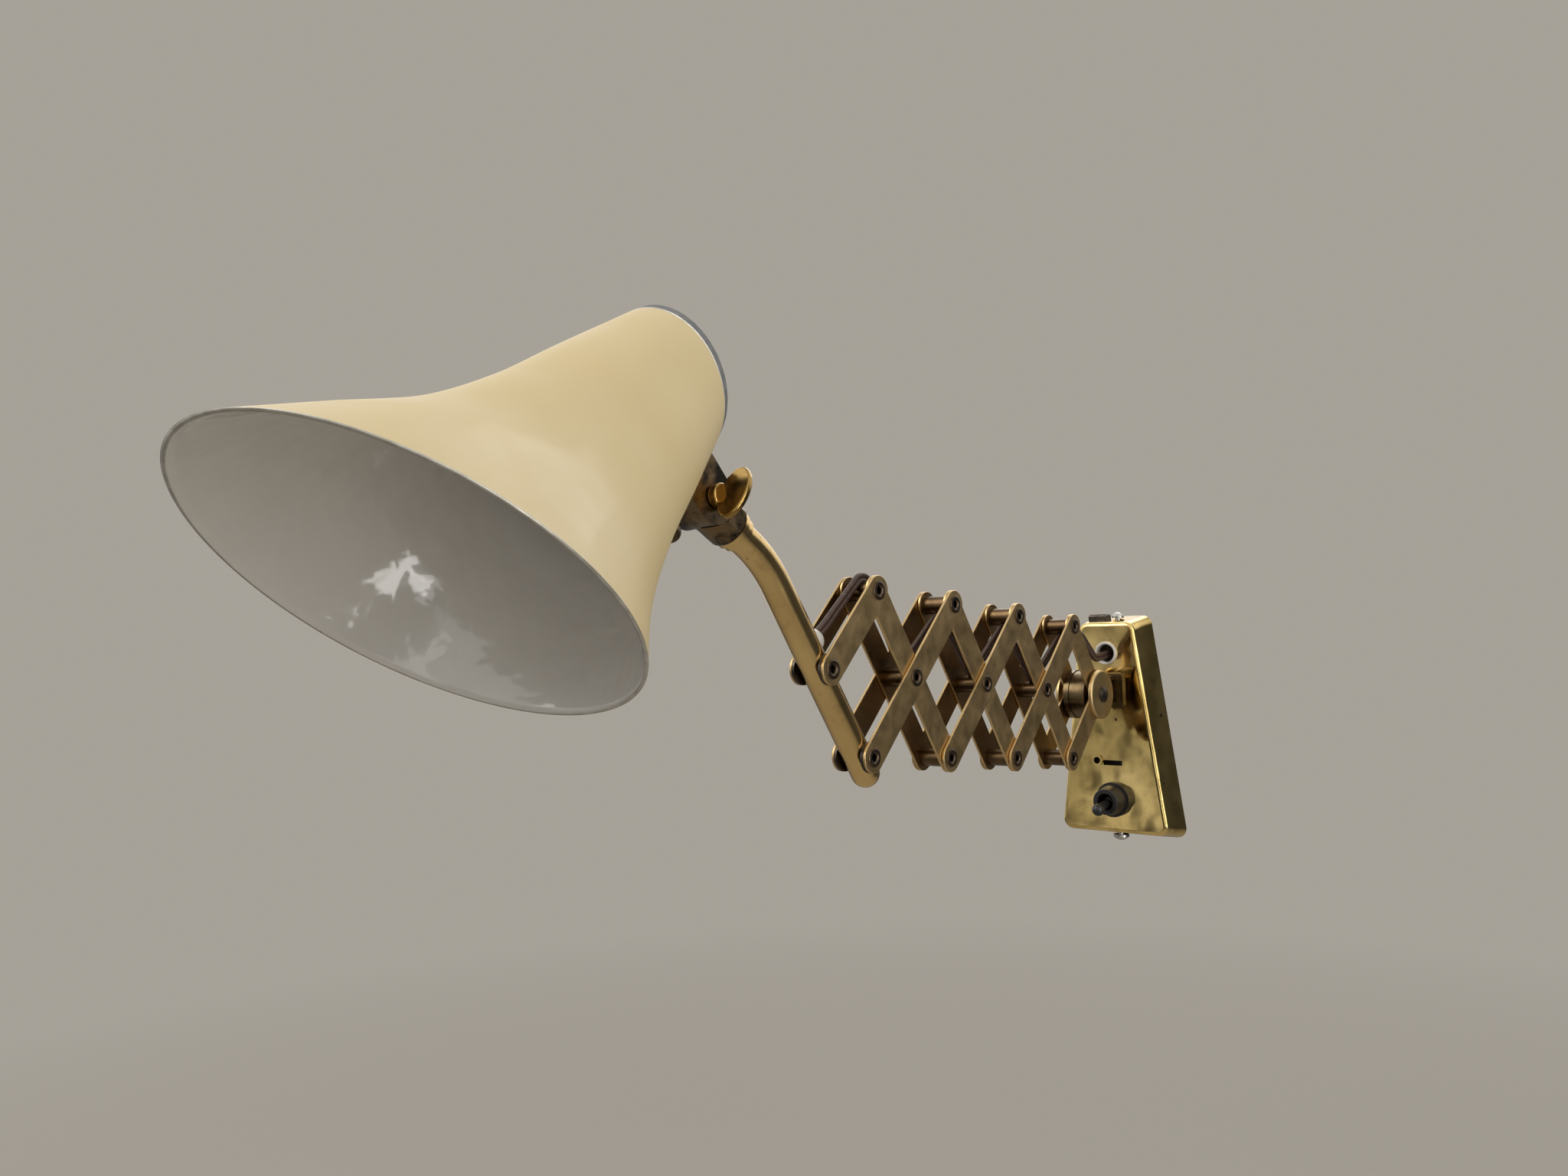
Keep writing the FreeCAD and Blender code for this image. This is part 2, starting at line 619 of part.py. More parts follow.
def switch_lever():
    drop = math.radians(LEVER_DROP)
    along = V(0, -math.cos(drop), -math.sin(drop))
    pivot = lever_pivot()
    stem = Part.makeCone(LEVER_ROOT, LEVER_THICK, LEVER_LENGTH - LEVER_TIP, pivot, along)
    tip = Part.makeSphere(LEVER_TIP, pivot + along * (LEVER_LENGTH - LEVER_TIP))
    return stem.fuse([tip, Part.makeSphere(LEVER_BALL, pivot)]).removeSplitter()


def terminal_block():
    block = Part.makeBox(2 * TERMINAL_HALF_X, TERMINAL_FRONT - PLATE_THICK, TERMINAL_TOP - TERMINAL_BOTTOM,
                         V(-TERMINAL_HALF_X, -TERMINAL_FRONT, TERMINAL_BOTTOM))
    middle = (TERMINAL_TOP + TERMINAL_BOTTOM) / 2
    for x in (-TERMINAL_HALF_X / 2, TERMINAL_HALF_X / 2):
        mouth = V(x, -TERMINAL_FRONT, middle)
        block = block.cut(Part.makeCylinder(TERMINAL_WELL, TERMINAL_WELL_DEPTH, mouth, V(0, 1, 0)))
    return block


def box_parts():
    export("wall_cover", wall_cover())
    export("wall_plate", wall_plate())
    screws = [cover_screw(1, TOP_SCREW_HEAD), cover_screw(-1, BOTTOM_SCREW_HEAD)]
    export("cover_screws", Part.makeCompound(screws))
    export("top_lug", top_lug())
    export("cord_grommet", grommet())
    export("switch_body", switch_body())
    export("switch_lever", switch_lever())
    export("terminal_block", terminal_block())


# ---- wall joint ---------------------------------------------------------------------------
def swivel_axis(z):
    return V(0, -SWIVEL_OUT, PIVOT_Z + z)


def wall_bracket():
    """Plate on the box front with two level ears that hold the upright swivel pin."""
    face = -BOX_DEPTH
    back = V(0, 1, 0)
    plate = Part.makeBox(2 * BRACKET_HALF_X, BRACKET_THICK, 2 * BRACKET_HALF_Z,
                         V(-BRACKET_HALF_X, face - BRACKET_THICK, PIVOT_Z - BRACKET_HALF_Z))
    corners = [e for e in plate.Edges if e.BoundBox.YLength > BRACKET_THICK - RUN]
    parts = []
    for low in (SWIVEL_HALF + SIDE, -SWIVEL_HALF - SIDE - EAR_THICK):
        ear = Part.makeBox(2 * SWIVEL_BARREL, SWIVEL_OUT - BOX_DEPTH - BRACKET_THICK, EAR_THICK,
                           V(-SWIVEL_BARREL, -SWIVEL_OUT, PIVOT_Z + low))
        parts += [ear, Part.makeCylinder(SWIVEL_BARREL, EAR_THICK, swivel_axis(low))]
    for x in (-BRACKET_STUD_X, BRACKET_STUD_X):
        outside = V(x, face - BRACKET_THICK, PIVOT_Z)
        stud = Part.makeCylinder(BRACKET_STUD, BOX_WALL + BRACKET_THICK, outside, back)
        tail = Part.makeCylinder(BRACKET_TAIL, BRACKET_TAIL_THICK, V(x, face + BOX_WALL, PIVOT_Z), back)
        parts += [stud, tail]
    body = plate.makeFillet(BRACKET_CORNER, corners).fuse(parts)
    return body.cut(bore(SWIVEL_PIN, swivel_axis(0), V(0, 0, 1))).removeSplitter()


def swivel_pin():
    half = SWIVEL_HALF + SIDE + EAR_THICK
    pin = Part.makeCylinder(SWIVEL_PIN, 2 * half, swivel_axis(-half))
    heads = [Part.makeCylinder(SWIVEL_HEAD, SWIVEL_HEAD_THICK, swivel_axis(z))
             for z in (half, -half - SWIVEL_HEAD_THICK)]
    return pin.fuse(heads).removeSplitter()


def swivel_block():
    """Upright barrel on the swivel pin, with a flat round eye that carries the tilt pivot."""
    barrel = Part.makeCylinder(SWIVEL_BARREL, 2 * SWIVEL_HALF, swivel_axis(-SWIVEL_HALF))
    neck = Part.makeBox(2 * EYE_HALF, PIVOT_OUT - SWIVEL_OUT, 2 * SWIVEL_HALF,
                        V(-EYE_HALF, -PIVOT_OUT, PIVOT_Z - SWIVEL_HALF))
    eye = rod_x(EYE_RADIUS, -EYE_HALF, EYE_HALF, pin_point("W"))
    body = barrel.fuse([neck, eye])
    body = body.cut(bore(SWIVEL_PIN + RUN, swivel_axis(0), V(0, 0, 1)))
    return body.cut(bore_x(SHOULDER + RUN, pin_point("W"))).removeSplitter()


def drum_plates():
    """Friction plates beside the eye, filling the gap between the two planes of straps."""
    plate = tube_x(DRUM_RADIUS, SHOULDER, EYE_HALF + SIDE, INNER_FACE - SIDE, pin_point("W"))
    return both_sides(plate)


def friction_discs():
    start = OUTER_OUT + SIDE
    disc = rod_x(DISC_RADIUS, start, start + DISC_THICK, pin_point("W"))
    rim = [e for e in disc.Edges if e.BoundBox.XMin > start + DISC_THICK - RUN]
    disc = disc.makeFillet(DISC_EDGE, rim).cut(bore_x(PIVOT_THREAD, pin_point("W")))
    return both_sides(disc)


def pivot_bolt():
    """Shouldered bolt through the whole wall joint; its slotted dome stands on the near disc."""
    centre = pin_point("W")
    shoulder = OUTER_OUT + SIDE
    seat = shoulder + DISC_THICK
    crown = seat + PIVOT_HEAD_STEP + PIVOT_HEAD_DOME
    thread = rod_x(PIVOT_THREAD, -seat - PIVOT_NUT - PIVOT_HEAD_STEP, seat, centre)
    step = rod_x(PIVOT_HEAD, seat, seat + PIVOT_HEAD_STEP, centre)
    cap = dome(PIVOT_HEAD, PIVOT_HEAD_DOME, centre + X_AXIS * (seat + PIVOT_HEAD_STEP), X_AXIS)
    body = rod_x(SHOULDER, -shoulder, shoulder, centre).fuse([thread, step, cap])
    cut = Part.makeBox(2 * PIVOT_HEAD_DOME, 4 * PIVOT_HEAD, PIVOT_SLOT)
    cut.translate(centre + V(crown - PIVOT_HEAD_DOME / 2, -2 * PIVOT_HEAD, -PIVOT_SLOT / 2))
    return body.cut(cut).removeSplitter()


def pivot_nut():
    seat = OUTER_OUT + SIDE + DISC_THICK
    return tube_x(PIVOT_HEAD, PIVOT_THREAD, -seat - PIVOT_NUT, -seat, pin_point("W"))


def joint_parts():
    export("wall_bracket", wall_bracket())
    export("swivel_pin", swivel_pin())
    export("swivel_block", swivel_block())
    export("drum_plates", drum_plates())
    export("friction_discs", friction_discs())
    export("pivot_bolt", Part.makeCompound([pivot_bolt(), pivot_nut()]))


# ---- head -----------------------------------------------------------------------------------
def turn_head(shape):
    """The head is modelled in the arm's plane and then turned about the tube's upper end."""
    turned = shape.copy()
    turned.rotate(HEAD_PIVOT, TUBE_AFTER, HEAD_TURN)
    return turned


def knuckle_base():
    """Half knuckle on the tube: round ear, thick neck and a hollow spigot that turns in the tube."""
    ear = rod_x(KNUCKLE_RADIUS, -KNUCKLE_HALF, -SIDE / 2, HEAD_PIVOT)
    seat = TUBE_END + TUBE_AFTER * SIDE
    neck = Part.makeCylinder(KNUCKLE_NECK, KNUCKLE_REACH - SIDE, seat, TUBE_AFTER)
    foot_rim = min((e for e in neck.Edges if e.BoundBox.XLength > KNUCKLE_NECK),
                   key=lambda e: e.CenterOfMass.distanceToPoint(seat))
    neck = neck.makeFillet(KNUCKLE_ROUND, [foot_rim])
    between = Part.makeBox(2 * KNUCKLE_HALF, 2 * THROUGH, 2 * THROUGH)
    between.translate(HEAD_PIVOT - V(KNUCKLE_HALF, THROUGH, THROUGH))
    guard = rod_x(KNUCKLE_RADIUS + KNUCKLE_GUARD, -SIDE / 2, 2 * KNUCKLE_HALF, HEAD_PIVOT)
    spigot = Part.makeCylinder(TUBE_RADIUS - TUBE_WALL - RUN, SPIGOT_LENGTH + SIDE,
                               seat - TUBE_AFTER * (SPIGOT_LENGTH + SIDE), TUBE_AFTER)
    body = ear.fuse([neck.common(between).cut(guard), spigot])
    passage = Part.makeCylinder(FLEX_HALF + SOFT_GAP, PASSAGE_LENGTH + SPIGOT_LENGTH,
                                TUBE_END - TUBE_AFTER * 2 * SPIGOT_LENGTH, TUBE_AFTER)
    return body.cut(passage).cut(bore_x(CLAMP_THREAD + RUN, HEAD_PIVOT)).removeSplitter()


def thumb_screw():
    """Clamp screw through both ears with a rolled neck and an oval paddle."""
    shank = rod_x(CLAMP_THREAD, -KNUCKLE_HALF - THUMB_TIP, KNUCKLE_HALF + SIDE, HEAD_PIVOT)
    start = KNUCKLE_HALF + SIDE
    neck = rod_x(THUMB_NECK, start, start + THUMB_NECK_LONG, HEAD_PIVOT)
    rims = [e for e in neck.Edges if e.Curve.TypeId == "Part::GeomCircle"]
    neck = neck.makeFillet(THUMB_ROUND, rims)
    centre = V(start + THUMB_NECK_LONG + PADDLE_SHORT - THUMB_OVERLAP, 0, 0)
    oval = Part.Ellipse(V(0, 0, 0), PADDLE_LONG, PADDLE_SHORT).toShape()
    paddle = Part.Face(Part.Wire([oval])).extrude(V(0, 0, PADDLE_THICK))
    paddle.translate(V(0, 0, -PADDLE_THICK / 2))
    paddle = paddle.makeFillet(THUMB_ROUND, [e for e in paddle.Edges if e.BoundBox.ZLength < RUN])
    paddle.rotate(V(0, 0, 0), V(0, 0, 1), 90)
    paddle.rotate(V(0, 0, 0), X_AXIS, 90 - PADDLE_LEAN)
    paddle.translate(centre + HEAD_PIVOT)
    return shank.fuse([neck, paddle]).removeSplitter()


def shade_place(shape):
    """Local frame of the shade (Z along its axis to the mouth, Y to its upper side) into the room."""
    s = math.radians(SHADE_SLOPE)
    along = V(0, -math.cos(s), -math.sin(s))
    upper = V(0, -math.sin(s), math.cos(s))
    origin = HEAD_PIVOT + upper * SHADE_OFFSET - along * SHADE_PIVOT
    matrix = FreeCAD.Matrix(1, 0, 0, origin.x,
                            0, upper.y, along.y, origin.y,
                            0, upper.z, along.z, origin.z,
                            0, 0, 0, 1)
    placed = shape.copy()
    placed.Placement = FreeCAD.Placement(matrix).multiply(placed.Placement)
    return turn_head(placed)


def trumpet(shrink):
    """Solid of revolution of the shade's profile, thinner by shrink."""
    points = [V(0, r - shrink, t) for t, r in SHADE_PROFILE]
    curve = Part.BSplineCurve()
    curve.interpolate(points)
    low, high = V(0, 0, SHADE_PROFILE[0][0]), V(0, 0, SHADE_PROFILE[-1][0])
    edges = [curve.toShape(), Part.LineSegment(points[-1], high).toShape(),
             Part.LineSegment(high, low).toShape(), Part.LineSegment(low, points[0]).toShape()]
    solid = Part.Face(Part.Wire(edges)).revolve(V(0, 0, 0), V(0, 0, 1), 360)
    return Part.Solid(solid.Shells[0]) if solid.ShapeType != "Solid" else solid


def slab(z0, z1, slant):
    """Wide plate between two planes at right angles to the axis, leaned towards the upper side."""
    box = Part.makeBox(2 * THROUGH, 2 * THROUGH, z1 - z0, V(-THROUGH, -THROUGH, z0))
    box.rotate(V(0, 0, 0), X_AXIS, slant)
    return box


def shade_body(shrink):
    """The trumpet between its two slanted end cuts."""
    mouth = slab(0, THROUGH, MOUTH_SLANT)
    mouth.translate(V(0, 0, SHADE_LENGTH))
    return trumpet(shrink).cut(mouth).cut(slab(-THROUGH, 0, -NECK_SLANT))


def profile_radius(t):
    """Radius of the trumpet by straight steps between the profile's stations."""
    for (t0, r0), (t1, r1) in zip(SHADE_PROFILE, SHADE_PROFILE[1:]):
        if t0 <= t <= t1:
            return r0 + (r1 - r0) * (t - t0) / (t1 - t0)
    raise ValueError("outside the profile")


def dome_axis(angle):
    """Foot and outward direction of a dome screw on the shade's underside."""
    a = math.radians(angle)
    out = V(math.sin(a), -math.cos(a), 0)
    return out * profile_radius(DOME_ALONG) + V(0, 0, DOME_ALONG), out


def dome_hole(angle):
    foot, out = dome_axis(angle)
    return Part.makeCylinder(DOME_SHANK, 2 * HOLDER_RADIUS, foot - out * HOLDER_RADIUS, out)


def stud_hole():
    """Cutter for the knuckle's stud, from the shade's axis out through its underside."""
    return Part.makeCylinder(FOOT_STUD, SHADE_OFFSET, V(KNUCKLE_HALF / 2, 0, SHADE_PIVOT), V(0, -1, 0))


def shade():
    shell = shade_body(0).cut(trumpet(SHADE_WALL))
    for angle in (-DOME_ANGLE, DOME_ANGLE):
        shell = shell.cut(dome_hole(angle))
    return shell.cut(stud_hole()).removeSplitter()


def end_cap():
    """Grey cap on the narrow end: a low band and an inset vented sheet."""
    band = trumpet(0).common(slab(-CAP_BAND, 0, -NECK_SLANT)).cut(trumpet(SHADE_WALL))
    sheet_start = CAP_SETBACK - CAP_BAND
    sheet = trumpet(SHADE_WALL).common(slab(sheet_start, sheet_start + CAP_SHEET, -NECK_SLANT))
    body = band.fuse(sheet)
    for i in range(VENTS):
        a = 2 * math.pi * i / VENTS
        at = V(VENT_RING * math.cos(a), VENT_RING * math.sin(a), 0)
        body = body.cut(bore(VENT_RADIUS, at, V(0, 0, 1)))
    return body.removeSplitter()


def lamp_holder():
    mouth = HOLDER_START + HOLDER_LENGTH
    body = Part.makeCylinder(HOLDER_RADIUS, HOLDER_LENGTH, V(0, 0, HOLDER_START))
    ring = Part.makeCylinder(HOLDER_RING, HOLDER_RING_LONG, V(0, 0, mouth - HOLDER_RING_BACK))
    inside = Part.makeCylinder(HOLDER_BORE, HOLDER_LENGTH, V(0, 0, HOLDER_START + HOLDER_BOTTOM))
    return body.fuse(ring).cut(inside).removeSplitter()


def bulb_glass():
    """Small globe bulb: a conical neck that runs into a ball."""
    start = HOLDER_START + HOLDER_LENGTH + BULB_GAP
    join = BULB_CENTRE - BULB_JOIN
    join_radius = math.sqrt(BULB_RADIUS ** 2 - BULB_JOIN ** 2)
    above = Part.makeCylinder(2 * BULB_RADIUS, 4 * BULB_RADIUS, V(0, 0, join))
    globe = Part.makeSphere(BULB_RADIUS, V(0, 0, BULB_CENTRE)).common(above)
    neck = Part.makeCone(BULB_NECK, join_radius, join - start, V(0, 0, start))
    return globe.fuse(neck).removeSplitter()


def bulb_cap():
    start = HOLDER_START + HOLDER_BOTTOM
    return Part.makeCylinder(BULB_CAP, HOLDER_START + HOLDER_LENGTH + BULB_GAP - start, V(0, 0, start))


def nut_seat():
    """Distance from the shade's axis to the outer face of the stud's flat nut."""
    inner = profile_radius(SHADE_PIVOT - NUT_RADIUS) - SHADE_WALL - SADDLE_THICK
    return math.sqrt(inner ** 2 - (KNUCKLE_HALF / 2 + NUT_RADIUS) ** 2)


def holder_bracket():
    """Saddle on the shade's inner wall, with a bridge and a ring that carry the lamp holder."""
    saddle = trumpet(SHADE_WALL + SADDLE_GAP).cut(trumpet(SHADE_WALL + SADDLE_THICK))
    window = Part.makeBox(2 * SADDLE_HALF, SHADE_OFFSET, SADDLE_END - SADDLE_START,
                          V(-SADDLE_HALF, -SHADE_OFFSET, SADDLE_START))
    reach = profile_radius(HOLDER_START) - SHADE_WALL - SADDLE_THICK
    level = HOLDER_START - BRIDGE_THICK
    bridge = Part.makeBox(2 * BRIDGE_HALF, reach, BRIDGE_THICK, V(-BRIDGE_HALF, -reach, level))
    ring = Part.makeCylinder(HOLDER_RADIUS, BRIDGE_THICK, V(0, 0, level))
    hole = Part.makeCylinder(BRIDGE_HOLE, 4 * BRIDGE_THICK, V(0, 0, level - BRIDGE_THICK))
    nut_at = V(KNUCKLE_HALF / 2, -nut_seat(), SHADE_PIVOT)
    nut_room = Part.makeCylinder(NUT_RADIUS + SOFT_GAP, 2 * NUT_THICK, nut_at, V(0, 1, 0))
    body = saddle.common(window).fuse([bridge, ring]).cut(hole).cut(nut_room)
    for angle in (-DOME_ANGLE, DOME_ANGLE):
        body = body.cut(dome_hole(angle))
    return body.cut(stud_hole()).removeSplitter()


def holder_screws():
    """Two dome screws through shade and saddle, and the nut on the knuckle's stud."""
    solids = []
    for angle in (-DOME_ANGLE, DOME_ANGLE):
        foot, out = dome_axis(angle)
        shank = Part.makeCylinder(DOME_SHANK, DOME_INSIDE + DOME_RISE / 2, foot - out * DOME_INSIDE, out)
        ball = Part.makeSphere(DOME_RADIUS, foot + out * (DOME_RISE - DOME_RADIUS))
        head = ball.common(Part.makeCylinder(DOME_RADIUS, 2 * DOME_RISE, foot, out))
        solids.append(shank.fuse(head).cut(trumpet(0).cut(dome_hole(angle))))
    nut_at = V(KNUCKLE_HALF / 2, -nut_seat(), SHADE_PIVOT)
    nut = Part.makeCylinder(NUT_RADIUS, NUT_THICK, nut_at, V(0, 1, 0))
    solids.append(nut.cut(stud_hole()))
    return Part.makeCompound(solids)


def knuckle_ear():
    """Half knuckle on the shade: round ear with straight flanks and a thin foot shaped to the wall."""
    pivot = V(0, -SHADE_OFFSET, SHADE_PIVOT)
    width = KNUCKLE_HALF - SIDE / 2
    ear = Part.makeCylinder(KNUCKLE_RADIUS, width, pivot + V(SIDE / 2, 0, 0), X_AXIS)
    flank_corner = pivot + V(SIDE / 2, 0, -KNUCKLE_RADIUS)
    flanks = Part.makeBox(width, SHADE_OFFSET, 2 * KNUCKLE_RADIUS, flank_corner)
    foot_corner = V(-KNUCKLE_HALF, -FOOT_OUT, SHADE_PIVOT - FOOT_HALF)
    foot = Part.makeBox(2 * KNUCKLE_HALF, FOOT_OUT, 2 * FOOT_HALF, foot_corner)
    body = ear.fuse([flanks, foot]).cut(trumpet(0))
    body = max(body.Solids, key=lambda s: s.Volume)
    stud_foot = V(KNUCKLE_HALF / 2, -FOOT_OUT, SHADE_PIVOT)
    stud = Part.makeCylinder(FOOT_STUD, STUD_LENGTH, stud_foot, V(0, 1, 0))
    return body.fuse(stud).cut(bore_x(CLAMP_THREAD + RUN, pivot)).removeSplitter()


def head_parts():
    export("knuckle_base", turn_head(knuckle_base()))
    export("thumb_screw", turn_head(thumb_screw()))
    for name, maker in (("knuckle_ear", knuckle_ear), ("shade", shade), ("shade_end_cap", end_cap),
                        ("lamp_holder", lamp_holder), ("holder_bracket", holder_bracket),
                        ("holder_screws", holder_screws), ("bulb_glass", bulb_glass),
                        ("bulb_cap", bulb_cap)):
        export(name, shade_place(maker()))


# ---- flex: from the terminal block, out of the grommet, through the scissors into the tube ----
def near_pin(name, up, out=0.0):
    """A corner of the route beside a rivet column, in the arm's own frame."""
    pin_out, pin_up = pin_place(name)
    return arm_point(pin_out + out, pin_up + up)


def cord_route():
    """Corner points by hand, with the bend radius at each corner and the name of the piece there."""
    entry = BUSH_POINT
    return [(V(0, -TERMINAL_EXIT, TERMINAL_TOP), 0, None),
            (V(0, -TERMINAL_EXIT, GROMMET_Z), 5.0, "box"),
            (V(0, -32.0, 38.8), 7.0, "swivel"),
            (V(0, -48.0, 52.4), 11.0, "tilt"),
            (V(0, -57.5, 52.8), 10.0, "fold"),
            (near_pin("T3", -5.2), 10.0, "t3"),
            (near_pin("M3", WAVE_OFF), WAVE_BEND, "m3"),
            (near_pin("T2", -WAVE_OFF), WAVE_BEND, "t2"),
            (near_pin("M2", WAVE_OFF), WAVE_BEND, "m2"),
            (near_pin("T1", -WAVE_OFF), WAVE_BEND, "t1"),
            (near_pin("M1", WAVE_OFF), WAVE_BEND, "m1"),
            (near_pin("T0", 8.66, -0.7), 5.6, "t0"),
            (entry + BUSH_DIR * ENTRY_AHEAD, 30.0, "entry"),
            (entry, 4.0, "entry"),
            (entry + TUBE_UP * FLEX_SPLIT, 0, None)]


def flex(wire):
    """Two round lobes, meeting in two shallow grooves, swept along a route in the arm's plane."""
    start, tangent = route_start(wire)
    groove = tangent.cross(X_AXIS) * math.sqrt(CORE_RADIUS ** 2 - CORE_APART ** 2)
    lobes = [Part.Arc(start + groove, start + X_AXIS * FLEX_HALF, start - groove),
             Part.Arc(start - groove, start - X_AXIS * FLEX_HALF, start + groove)]
    section = Part.Wire([lobe.toShape() for lobe in lobes])
    return sweep(wire, section, Part.Face(section).Area)


def cord_parts():
    route = cord_route()
    points = [p for p, r, n in route]
    pieces = {}
    for i in range(1, len(route) - 1):
        start = points[0] if i == 1 else (points[i - 1] + points[i]) * 0.5
        stop = points[-1] if i == len(route) - 2 else (points[i] + points[i + 1]) * 0.5
        pieces.setdefault(route[i][2], []).append((start, points[i], stop, route[i][1]))
    total = 0.0
    for name, runs in pieces.items():
        corners = [runs[0][0]] + [r[1] for r in runs] + [runs[-1][2]]
        wire = rounded_wire(corners, [r[3] for r in runs])
        print("flex piece", name, "length", round(wire.Length, 1), "bends", [r[3] for r in runs])
        total += wire.Length
        export("cord_" + name, flex(wire))
    end = TUBE_END + TUBE_AFTER * FLEX_TAIL
    wire = rounded_wire([points[-1], TUBE_CORNER, end], [TUBE_BEND_RADIUS])
    export("cord_tube", flex(wire))
    print("flex length", round(total + wire.Length, 1))


arm_parts()
tube_parts()
box_parts()
joint_parts()
head_parts()
cord_parts()
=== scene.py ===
"""Accordion wall lamp: finishes for the solids, the shade's skin, the flex, and the studio around them."""

import json
import math

import bmesh
import bpy
from mathutils import Matrix, Vector

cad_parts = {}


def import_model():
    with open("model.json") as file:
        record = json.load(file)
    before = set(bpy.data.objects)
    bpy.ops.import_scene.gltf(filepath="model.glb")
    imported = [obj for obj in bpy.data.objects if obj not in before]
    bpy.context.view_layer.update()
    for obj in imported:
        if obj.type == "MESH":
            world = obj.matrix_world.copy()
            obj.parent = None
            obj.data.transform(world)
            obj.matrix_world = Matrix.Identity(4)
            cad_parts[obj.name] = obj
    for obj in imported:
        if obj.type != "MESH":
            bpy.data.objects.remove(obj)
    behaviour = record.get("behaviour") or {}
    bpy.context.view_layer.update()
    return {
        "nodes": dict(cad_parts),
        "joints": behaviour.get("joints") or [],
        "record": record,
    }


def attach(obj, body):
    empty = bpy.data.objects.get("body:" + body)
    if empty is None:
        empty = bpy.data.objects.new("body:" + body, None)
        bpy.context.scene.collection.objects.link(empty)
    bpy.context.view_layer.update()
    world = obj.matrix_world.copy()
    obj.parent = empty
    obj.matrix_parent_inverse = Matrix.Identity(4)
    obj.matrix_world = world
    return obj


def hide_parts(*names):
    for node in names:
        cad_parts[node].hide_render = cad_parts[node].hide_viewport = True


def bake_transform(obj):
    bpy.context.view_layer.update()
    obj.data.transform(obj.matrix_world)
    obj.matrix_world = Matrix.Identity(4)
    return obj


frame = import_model()
MM = 0.001
X_AXIS = Vector((1, 0, 0))

# ---- photograph's camera, fitted to the straps, the box and the shade ---------------------
CAMERA_AT = (0.2919, -0.6298, 0.0664)
CAMERA_YAW = 0.7091
CAMERA_PITCH = 0.0264
CAMERA_ROLL = 0.0376
CAMERA_LENS = 27.1
CAMERA_SENSOR = 36.0

# ---- studio, in metres ----------------------------------------------------------------------
BACKDROP = (0.385, 0.358, 0.315)
FILL_TONE = (0.82, 0.80, 0.76)
FILL_STRENGTH = 0.34

# What polished surfaces mirror: brightness from straight below (0) to straight above (1),
# in bands that soft patches break up and that lean to one side, as in a furnished room
GLOSS_BANDS = ((0.0, 0.05), (0.42, 0.09), (0.52, 0.24), (0.58, 0.80), (0.74, 1.30), (1.0, 0.80))
GLOSS_TINT = (1.0, 0.985, 0.96)
GLOSS_PATCH_SCALE = 1.7
GLOSS_PATCH_SHARE = 0.9
GLOSS_LEAN = -0.16

FLOOR_TONE = (0.52, 0.485, 0.43)
FLOOR_FADE = ((0.10, 1.0), (0.42, 0.0))
FLOOR_RADIUS = 4.0
FLOOR_AT = (0, -0.2, -0.5)

# Name, place, aim, size, watts, colour, and whether it lights matt surfaces too
LIGHTS = (
    ("key", (-0.9, -1.4, 1.3), (0, -0.25, 0.05), (1.3, 1.3), 17.0, (1.0, 0.97, 0.93), True),
    ("front", (1.0, -1.7, -0.05), (0, -0.4, 0.1), (0.8, 0.8), 2.5, (1.0, 0.98, 0.95), True),
    ("side", (1.5, -0.5, 0.5), (0, -0.2, 0.03), (0.9, 1.4), 8.5, (0.98, 0.98, 0.98), True),
    ("window", (1.40, -0.55, -0.3), (-0.044, -0.42, 0.083), (0.4, 0.5), 4.5, (1.0, 0.99, 0.96), False),
    ("rear", (-0.4, 1.1, 1.2), (0, -0.2, 0.05), (1.2, 0.8), 7.0, (1.0, 1.0, 1.0), True),
)

# ---- places shared with the solids, in millimetres ------------------------------------------
ARM_TILT = math.radians(6.56)
CELLS = 4
LINK_PITCH = 44.15
LINK_ANGLE = math.radians(49.85)
PIVOT_OUT = 46.0
PIVOT_Z = 20.35
CELL = LINK_PITCH * math.cos(LINK_ANGLE)     # along the arm from one rivet column to the next
RISE = LINK_PITCH * math.sin(LINK_ANGLE)     # across the arm from the middle row to the others
TUBE_BEND = math.radians(24.9)
BUSH_FROM_PIN = 10.5
HEAD_TURN = math.radians(4.45)
SHADE_SLOPE = math.radians(38.7)
SHADE_OFFSET = 40.8                          # from the clamp's pivot across to the shade's axis
SHADE_PIVOT = 13.3                           # along that axis from the neck to the pivot
SHADE_LENGTH = 122.3
MOUTH_SLANT = math.radians(16.2)
NECK_SLANT = math.radians(16.5)
SHADE_WALL = 1.2

# Distance along the shade's axis, outer radius
SHADE_PROFILE = ((-15.0, 23.2), (0.0, 26.4), (30.0, 32.8), (60.0, 38.9),
                 (90.0, 48.7), (120.0, 64.5), (150.0, 80.2))

# ---- meshes made here, in millimetres ---------------------------------------------------------
SKIN_AROUND = 160
SKIN_ALONG = 56
RIM_BAND = 0.006        # share of the shade's length that is bare metal at each end
OUTER_STEPS = [0.0, RIM_BAND] + [j / SKIN_ALONG for j in range(1, SKIN_ALONG)] + [1 - RIM_BAND, 1.0]
INNER_STEPS = [j / SKIN_ALONG for j in reversed(range(SKIN_ALONG + 1))]
CUT_ROUNDS = 30
FLEX_CORE = 1.18        # radius of each core
FLEX_APART = 1.1        # half the distance between the two cores
FLEX_SIDES = 18
FLEX_STEP = 0.8

